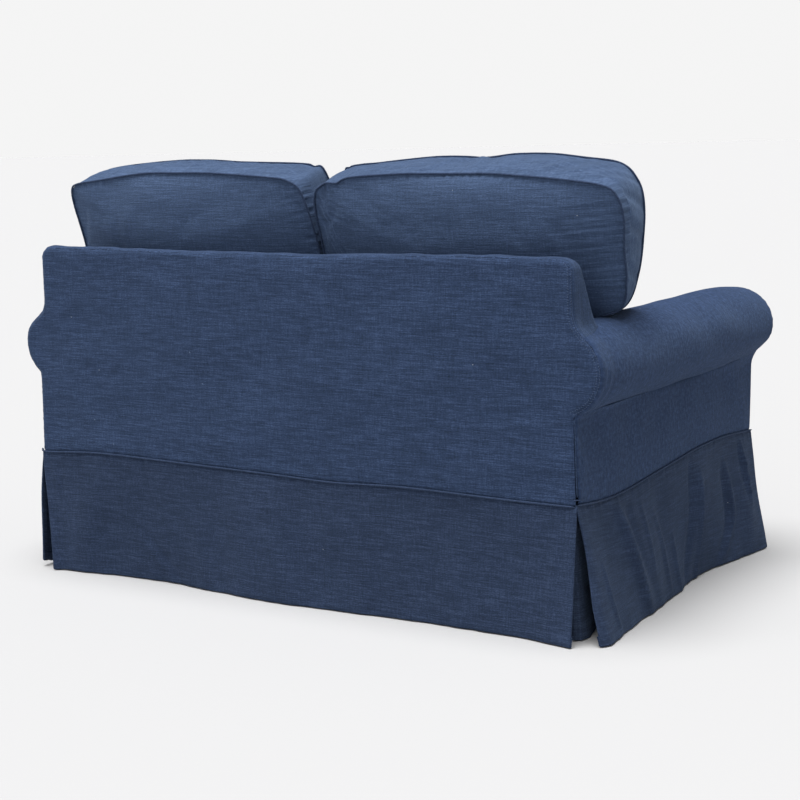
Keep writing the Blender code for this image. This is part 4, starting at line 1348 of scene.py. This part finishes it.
lean = {"angle": math.radians(16), "rearY": 0.3055, "height": 0.760, "depth": 0.130}
cushionCord = {"radius": 0.0022, "gap": -0.0008}
filling = {  # how cushion cloth behaves while it is blown full
    "quality": 4,
    "weight": 0.25,
    "stretch": 20,
    "shear": 8,
    "bend": 0.4,
    "airDrag": 1.5,
    "frames": 20,
    "softenings": 6,
    "smallBulge": 0.001,  # of the boxing, before it is filled
    "yield": 0.35,  # share of any deeper sinking that stays
    "held": (0.011, 0.006),  # distance from a seam where cloth comes free, and over what width
    "pulled": (0.011, 0.0065),  # the same for cloth that is drawn onto its seam afterwards
}
backCushions = {
    "voxel": 0.007,
    "ringSteps": 12,
    "rearCrown": 0.046,
    "frontCrown": 0.062,
    "bulge": 0.006,
    "slack": 0.008,  # how much smaller the shell starts before it is filled
    "pressure": 4.0,
    "oversize": 0.016,  # share by which its cloth may grow
    "cap": 0.024,  # the furthest that it may travel
    "pucker": (0.0007, 0.017, 0.014),
    "folds": (0.0017, 0.052),  # height and spacing of a boxing's folds, and then of unevenness
    "uneven": (0.0005, 0.13),
    "proud": 0.002,  # how far cloth may stand outside the sewn shape, or sink before it is eased back
    "sunk": 0.003,
    "fill": 0.72,
    # rows round the outline: rear seam across and up, front seam across and up
    "right": (
        (0.034, 0.498, 0.040, 0.510), (0.290, 0.496, 0.290, 0.510), (0.512, 0.499, 0.500, 0.511),
        (0.544, 0.530, 0.538, 0.542), (0.546, 0.580, 0.543, 0.580), (0.564, 0.611, 0.560, 0.606),
        (0.636, 0.624, 0.606, 0.616), (0.692, 0.646, 0.646, 0.646), (0.709, 0.700, 0.674, 0.706),
        (0.713, 0.765, 0.692, 0.772), (0.720, 0.828, 0.704, 0.845), (0.709, 0.872, 0.697, 0.893),
        (0.678, 0.889, 0.664, 0.927), (0.594, 0.900, 0.583, 0.939), (0.500, 0.908, 0.515, 0.9465),
        (0.435, 0.912, 0.435, 0.947), (0.365, 0.912, 0.360, 0.940), (0.290, 0.912, 0.310, 0.9425),
        (0.227, 0.912, 0.230, 0.9420), (0.103, 0.905, 0.090, 0.9303), (0.066, 0.893, 0.050, 0.9276),
        (0.032, 0.891, 0.017, 0.9215), (0.002, 0.858, 0.002, 0.901), (0.001, 0.750, 0.004, 0.750),
        (0.004, 0.620, 0.006, 0.620), (0.010, 0.535, 0.012, 0.535),
    ),
    "left": (
        (0.046, 0.498, 0.050, 0.510), (0.290, 0.496, 0.290, 0.510), (0.512, 0.499, 0.500, 0.511),
        (0.544, 0.530, 0.538, 0.542), (0.546, 0.590, 0.543, 0.590), (0.564, 0.628, 0.560, 0.626),
        (0.632, 0.640, 0.608, 0.630), (0.668, 0.662, 0.646, 0.657), (0.676, 0.705, 0.672, 0.706),
        (0.678, 0.775, 0.688, 0.775), (0.683, 0.842, 0.698, 0.838), (0.679, 0.878, 0.708, 0.887),
        (0.660, 0.891, 0.690, 0.9125), (0.590, 0.900, 0.628, 0.9265), (0.459, 0.915, 0.470, 0.939),
        (0.360, 0.916, 0.363, 0.940), (0.260, 0.915, 0.270, 0.935), (0.105, 0.905, 0.114, 0.9308),
        (0.060, 0.897, 0.079, 0.9242), (0.030, 0.868, 0.050, 0.908), (0.012, 0.750, 0.018, 0.750),
        (0.009, 0.620, 0.013, 0.620), (0.014, 0.535, 0.020, 0.535),
    ),
}
seatCushions = {
    "voxel": 0.011,
    "bottom": 0.3303,
    "lowerSeam": 0.3403,
    "upperSeam": 0.4872,
    "crown": 0.022,
    "bulge": 0.006,
    "slack": 0.005,
    "pressure": 4.0,
    "oversize": 0.02,
    "cap": 0.016,
    "pucker": (0.0009, 0.022, 0.018),
    "folds": (0.0012, 0.06),
    "uneven": (0.0012, 0.16),
    "proud": 0.002,
    "sunk": 0.003,
    "fill": 0.85,
    "front": -0.446,
    "rear": 0.205,
    "inner": 0.008,
    "outer": 0.546,
    "corner": 0.045,
    "ringStep": 0.012,
}


def leanPoints(across, height, offset):  # points of the leaning plane, offset in front of the rear seam
    y = lean["rearY"] - offset / math.cos(lean["angle"])
    y = y + (height - lean["height"]) * math.tan(lean["angle"])
    return pointsOf(across, y, height)


def ringOutwards(ring, axis):  # the direction away from a ring, at each of its points
    after, middle = np.roll(ring, -1, 0), ring.mean(0)
    turn = 1 if np.dot(np.cross(ring - middle, after - middle).sum(0), axis) > 0 else -1
    return unit(np.cross(after - np.roll(ring, 1, 0), axis) * turn)


def cushionShell(near, far, nearCrown, farCrown, bulge):  # two crowned faces and the boxing between
    count = len(near)
    shares = np.array([1, 0.985, 0.96, 0.93, 0.88, 0.80, 0.70, 0.58, 0.44, 0.30, 0.16, 0.06])
    points, faces = [], []

    def join(a, b, flip):  # quads from one ring of points to the next
        for k in range(count):
            j = (k + 1) % count
            quad = (a + k, a + j, b + j, b + k)
            faces.append(quad if flip else quad[::-1])

    def addFace(ring, crown, flip):
        middle = ring.mean(0)
        mean = np.linalg.norm(ring - middle, axis=1).mean()
        loops = []
        for share in shares:
            away = ring - middle
            blended = away * share + unit(away) * mean * (1 - share)
            loops.append(len(points))
            points.extend(middle + crown(share) + share * blended)
        points.append(middle + crown(0.0))
        for a, b in zip(loops, loops[1:]):
            join(a, b, flip)
        last = loops[-1]
        for k in range(count):
            tri = (last + k, last + (k + 1) % count, len(points) - 1)
            faces.append(tri if flip else tri[::-1])
        return loops[0]

    nearStart = addFace(near, nearCrown, False)
    farStart = addFace(far, farCrown, True)
    axis = near.mean(0) - far.mean(0)
    axis = axis / np.linalg.norm(axis)
    away = ringOutwards((near + far) / 2, axis)
    previous = nearStart
    for share in (0.1, 0.22, 0.36, 0.5, 0.64, 0.78, 0.9):
        here = len(points)
        points.extend(near + (far - near) * share + away * bulge * math.sin(math.pi * share) ** 0.8)
        join(previous, here, True)
        previous = here
    join(previous, farStart, True)
    return np.array(points), faces


def nearestOnRing(points, ring):  # distance to a seam line, and the place along it
    tree = KDTree(len(ring))
    for k, point in enumerate(ring):
        tree.insert(point, k)
    tree.balance()
    found = [tree.find(point) for point in points]
    return np.array([f[2] for f in found]), np.array([f[1] for f in found])


def divideRing(ring, step=0.0015):  # a closed ring with points close together, and its length at each
    line = []
    for a, b in zip(ring, np.roll(ring, -1, 0)):
        count = max(1, round(float(np.linalg.norm(b - a)) / step))
        line.extend(a + (b - a) * k / count for k in range(count))
    line = np.array(line)
    return line, runningLength(line)


def fillCushion(piece, look, near, far):  # a seam stays where it is while the cloth is blown full
    points = readPoints(piece.data)
    distance = np.minimum(nearestOnRing(points, near)[0], nearestOnRing(points, far)[0])
    hold = piece.vertex_groups.new(name="seam")
    free, width = filling["held"]
    for k, weight in enumerate(ramp((free - distance) / width)):
        if weight > 0:
            hold.add([k], float(weight), "REPLACE")
    cloth = piece.modifiers.new("filling", "CLOTH")
    settings = cloth.settings
    settings.quality = filling["quality"]
    settings.mass = filling["weight"]
    settings.tension_stiffness = settings.compression_stiffness = filling["stretch"]
    settings.shear_stiffness = filling["shear"]
    settings.bending_stiffness = filling["bend"]
    settings.air_damping = filling["airDrag"]
    settings.use_pressure = True
    settings.uniform_pressure_force = look["pressure"]
    settings.shrink_min = -look["oversize"]
    settings.effector_weights.gravity = 0
    settings.vertex_group_mass = "seam"
    scene = bpy.context.scene
    for step in range(filling["frames"]):
        scene.frame_set(step + 1)
    result = piece.evaluated_get(bpy.context.evaluated_depsgraph_get())
    moved = readPoints(result.data)
    travel = moved - points
    length = np.linalg.norm(travel, axis=1, keepdims=True)
    travel *= np.minimum(1, look["cap"] / np.maximum(length, 1e-9))
    piece.modifiers.remove(cloth)
    piece.vertex_groups.clear()
    piece.data.vertices.foreach_set("co", (points + travel).ravel())
    piece.data.update()
    scene.frame_set(1)
    applyModifier(piece, "SMOOTH", iterations=filling["softenings"])


def easeInside(points, shell, look):  # keeps filled cloth near its sewn shape, and reads its normals
    sewn, faces = shell
    tree = BVHTree.FromPolygons([tuple(p) for p in sewn], faces)
    normals = np.empty((len(points), 3))
    for k, point in enumerate(points):
        place, normal, _, _ = tree.find_nearest(point)
        normals[k] = normal
        proud = (Vector(point) - place).dot(normal)
        allowed = look["sunk"] if proud < 0 else look["proud"]
        if abs(proud) > allowed:
            beyond = filling["yield"] * max(abs(proud) - allowed, 0) * (proud < 0)
            points[k] = place + normal * math.copysign(min(abs(proud), allowed) + beyond, proud)
    return normals


def makeCushion(name, near, far, crowns, look, node, cords, detail):
    near, far = np.asarray(near), np.asarray(far)
    axis = near.mean(0) - far.mean(0)
    axis /= np.linalg.norm(axis)
    nearCrown, farCrown = crowns
    slack = axis * look["slack"]
    small, faces = cushionShell(
        near, far, lambda share: nearCrown(share) - slack * min(1, (1 - share) * 8),
        lambda share: farCrown(share) + slack * min(1, (1 - share) * 8), filling["smallBulge"],
    )
    piece = meshFrom(name, small, faces)
    applyModifier(piece, "REMESH", mode="VOXEL", voxel_size=look["voxel"])
    nearLine, nearLength = divideRing(near)
    farLine, farLength = divideRing(far)
    fillCushion(piece, look, nearLine, farLine)
    applyModifier(piece, "SUBSURF", levels=1, render_levels=1)

    # ends on its seams, within the sewn shape
    points = readPoints(piece.data)
    nearGap, nearAt = nearestOnRing(points, nearLine)
    farGap, farAt = nearestOnRing(points, farLine)
    free, width = filling["pulled"]
    for gap, at, line in ((nearGap, nearAt, nearLine), (farGap, farAt, farLine)):
        pull = ramp((free - gap) / width)
        points += (line[at] - points) * pull[:, None]
    normals = easeInside(points, cushionShell(near, far, nearCrown, farCrown, look["bulge"]), look)
    beyondNear, beyondFar = (points - near.mean(0)) @ axis > 0, (points - far.mean(0)) @ axis < 0
    region = np.where(beyondNear, 0, np.where(beyondFar, 2, 1))  # near face, boxing or far face
    gap = np.minimum(nearGap, farGap)
    height = detail(points, region, gap, nearGap, nearLength[nearAt], farLength[farAt])
    points += normals * height[:, None]
    piece.data.vertices.foreach_set("co", points.ravel())
    piece.data.update()
    clothMap(piece, points, near, far, axis, nearLine, nearLength)
    activate(piece)
    bpy.ops.object.shade_smooth()
    finishPiece(piece, [node], "cushion_cloth")
    for line, way, cord, seed in ((near, axis, cords[0], 1), (far, -axis, cords[1], 2)):
        path = line + unit(ringOutwards(line, way) + way) * (cushionCord["radius"] + cushionCord["gap"])
        radii = cordRadii(len(line), cushionCord["radius"], seed + len(name), closed=True)
        addTube(cord + "Cord", path, radii, [cord], "cord_cloth", closed=True)


def clothMap(piece, points, near, far, axis, nearLine, nearLength):  # the weave runs across each face
    mesh = piece.data
    layer = mesh.uv_layers[0] if mesh.uv_layers else mesh.uv_layers.new(name="cloth")
    layer.name = "cloth"
    up = np.cross(axis, (1, 0, 0)) if abs(axis[2]) < 0.8 else np.array([0, 1, 0])
    up = up / np.linalg.norm(up)
    if up[2] < 0:
        up = -up
    corner = readWhole(mesh.loops, "vertex_index")
    centres = np.empty(len(mesh.polygons) * 3)
    mesh.polygons.foreach_get("center", centres)
    centres = centres.reshape(-1, 3)
    owner = np.repeat(np.arange(len(centres)), readWhole(mesh.polygons, "loop_total"))
    along = nearLength[nearestOnRing(points, nearLine)[1]]
    middle = nearLength[nearestOnRing(centres, nearLine)[1]]
    whole = nearLength[-1]
    depthNear = (centres - near.mean(0)) @ axis
    depthFar = (centres - far.mean(0)) @ axis
    boxed = ((depthNear <= 0) & (depthFar >= 0))[owner]
    place = points[corner]
    u = along[corner]
    u = u + whole * np.round((middle[owner] - u) / whole)
    strip = pointsOf(u, place @ axis + 7.0)  # well away from the faces' part of the map
    face = pointsOf(place[:, 0] * np.where(depthNear > 0, -1, 1)[owner], place @ up)
    layer.data.foreach_set("uv", np.where(boxed[:, None], strip, face).ravel())


def backDetail(listed, dips, seed):  # puckers, soft folds of the boxing, and stress folds
    look = backCushions

    def detail(points, region, gap, nearGap, nearAt, farAt):
        x, z = points[:, 0], points[:, 2]
        faces = region != 1
        height = puckers(nearAt, gap - 0.006, look["pucker"], seed) * faces
        tall, size = look["uneven"]
        height += tall * wander(x, z, size, seed + 1) * ramp(gap / 0.03) * faces
        tall, size = look["folds"]
        folds = ripple(nearAt + 0.7 * nearGap, size, seed + 2)
        outer = ramp((np.abs(x) - 0.05) / 0.04)
        height += tall * folds * ramp(gap / 0.02) * (region == 1) * outer
        height += creases(x, points[:, 1], dips) * (region == 1) * (z > 0.85) * ramp(gap / 0.014)
        for (strongX, weakX), (lowZ, highZ), size, tall, shift in listed:
            window = ramp(1.3 * (x - weakX) / (strongX - weakX))
            window = window * ramp((z - lowZ) / 0.03) * ramp((highZ - z) / 0.03)
            slant = z + shift * (x - strongX)
            height += tall * ripple(slant, size, seed + 4) * window * (region == 0)
        return height * ramp(gap / 0.004)

    return detail


stressFolds = {  # across from strong to faint, up, spacing, height, slant
    "right": (
        ((-0.712, -0.560), (0.690, 0.885), 0.0115, 0.0013, 0.12),
        ((-0.700, -0.560), (0.640, 0.760), 0.0150, 0.0010, 0.20),
        ((-0.010, -0.130), (0.790, 0.890), 0.016, 0.0007, -0.35),
    ),
    "left": (
        ((0.020, 0.140), (0.790, 0.890), 0.017, 0.0007, 0.30),
    ),
}


boxingDips = {  # path across and in depth, height, width
    "right": (
        (((-0.350, 0.215), (-0.372, 0.260), (-0.405, 0.320)), -0.0060, 0.014),
        (((-0.385, 0.215), (-0.400, 0.260), (-0.425, 0.310)), 0.0030, 0.012),
    ),
    "left": ((((0.330, 0.225), (0.345, 0.270), (0.340, 0.330)), -0.0030, 0.016),),
}


def makeBackCushion(word, side, seed):
    table = curveThrough(backCushions[word], backCushions["ringSteps"], closed=True)
    near = leanPoints(side * table[:, 0], table[:, 1], 0.0)
    far = leanPoints(side * table[:, 2], table[:, 3], lean["depth"])
    back = np.array([0, math.cos(lean["angle"]), -math.sin(lean["angle"])])
    node = "back_cushion_" + word
    if side > 0:
        near, far = near[::-1], far[::-1]
    makeCushion(
        word + "BackCushion", near, far,
        (lambda share: back * backCushions["rearCrown"] * (1 - share**2.0),
         lambda share: -back * backCushions["frontCrown"] * (1 - share**2.4)),
        backCushions, node, (node + "_rear_welt", node + "_front_welt"),
        backDetail(stressFolds[word], boxingDips[word], seed),
    )


def seatRing(side, height):
    look = seatCushions
    radius = look["corner"]
    corners = (("outer", "front", -90), ("outer", "rear", 0), ("inner", "rear", 90), ("inner", "front", 180))
    points = []
    for wordX, wordY, start in corners:
        middleX = look[wordX] + (radius if wordX == "inner" else -radius)
        middleY = look[wordY] + (radius if wordY == "front" else -radius)
        for turn in np.radians(start + np.arange(0, 91, 9)):
            points.append((middleX + radius * math.cos(turn), middleY + radius * math.sin(turn)))
    ring = divideRing(np.array(points), look["ringStep"])[0]
    return pointsOf(side * ring[:, 0], ring[:, 1], np.full(len(ring), height))


def makeSeatCushion(word, side, seed):
    look = seatCushions
    up = np.array([0.0, 0.0, 1.0])
    near, far = seatRing(side, look["lowerSeam"]), seatRing(side, look["upperSeam"])
    if side > 0:
        near, far = near[::-1], far[::-1]
    drop = look["lowerSeam"] - look["bottom"]
    node = "seat_cushion_" + word

    def detail(points, region, gap, nearGap, nearAt, farAt):
        height = puckers(farAt, gap - 0.008, look["pucker"], seed) * (region > 0)
        tall, size = look["uneven"]
        height += tall * wander(points[:, 0], points[:, 1], size, seed + 1) * (region == 2)
        tall, size = look["folds"]
        height += tall * ripple(nearAt + 0.4 * nearGap, size, seed + 2) * (region == 1)
        return height * ramp(gap / 0.006)

    makeCushion(
        word + "SeatCushion", near, far,
        (lambda share: -up * drop * min((1 - share) / 0.05, 1.0),
         lambda share: up * look["crown"] * (1 - share**3.0)),
        look, node, (node + "_lower_welt", node + "_upper_welt"), detail,
    )


for word, side, seed in (("left", 1, 110), ("right", -1, 120)):
    makeBackCushion(word, side, seed)
    print(word, "back cushion filled")
    makeSeatCushion(word, side, seed + 30)
    print(word, "seat cushion filled")
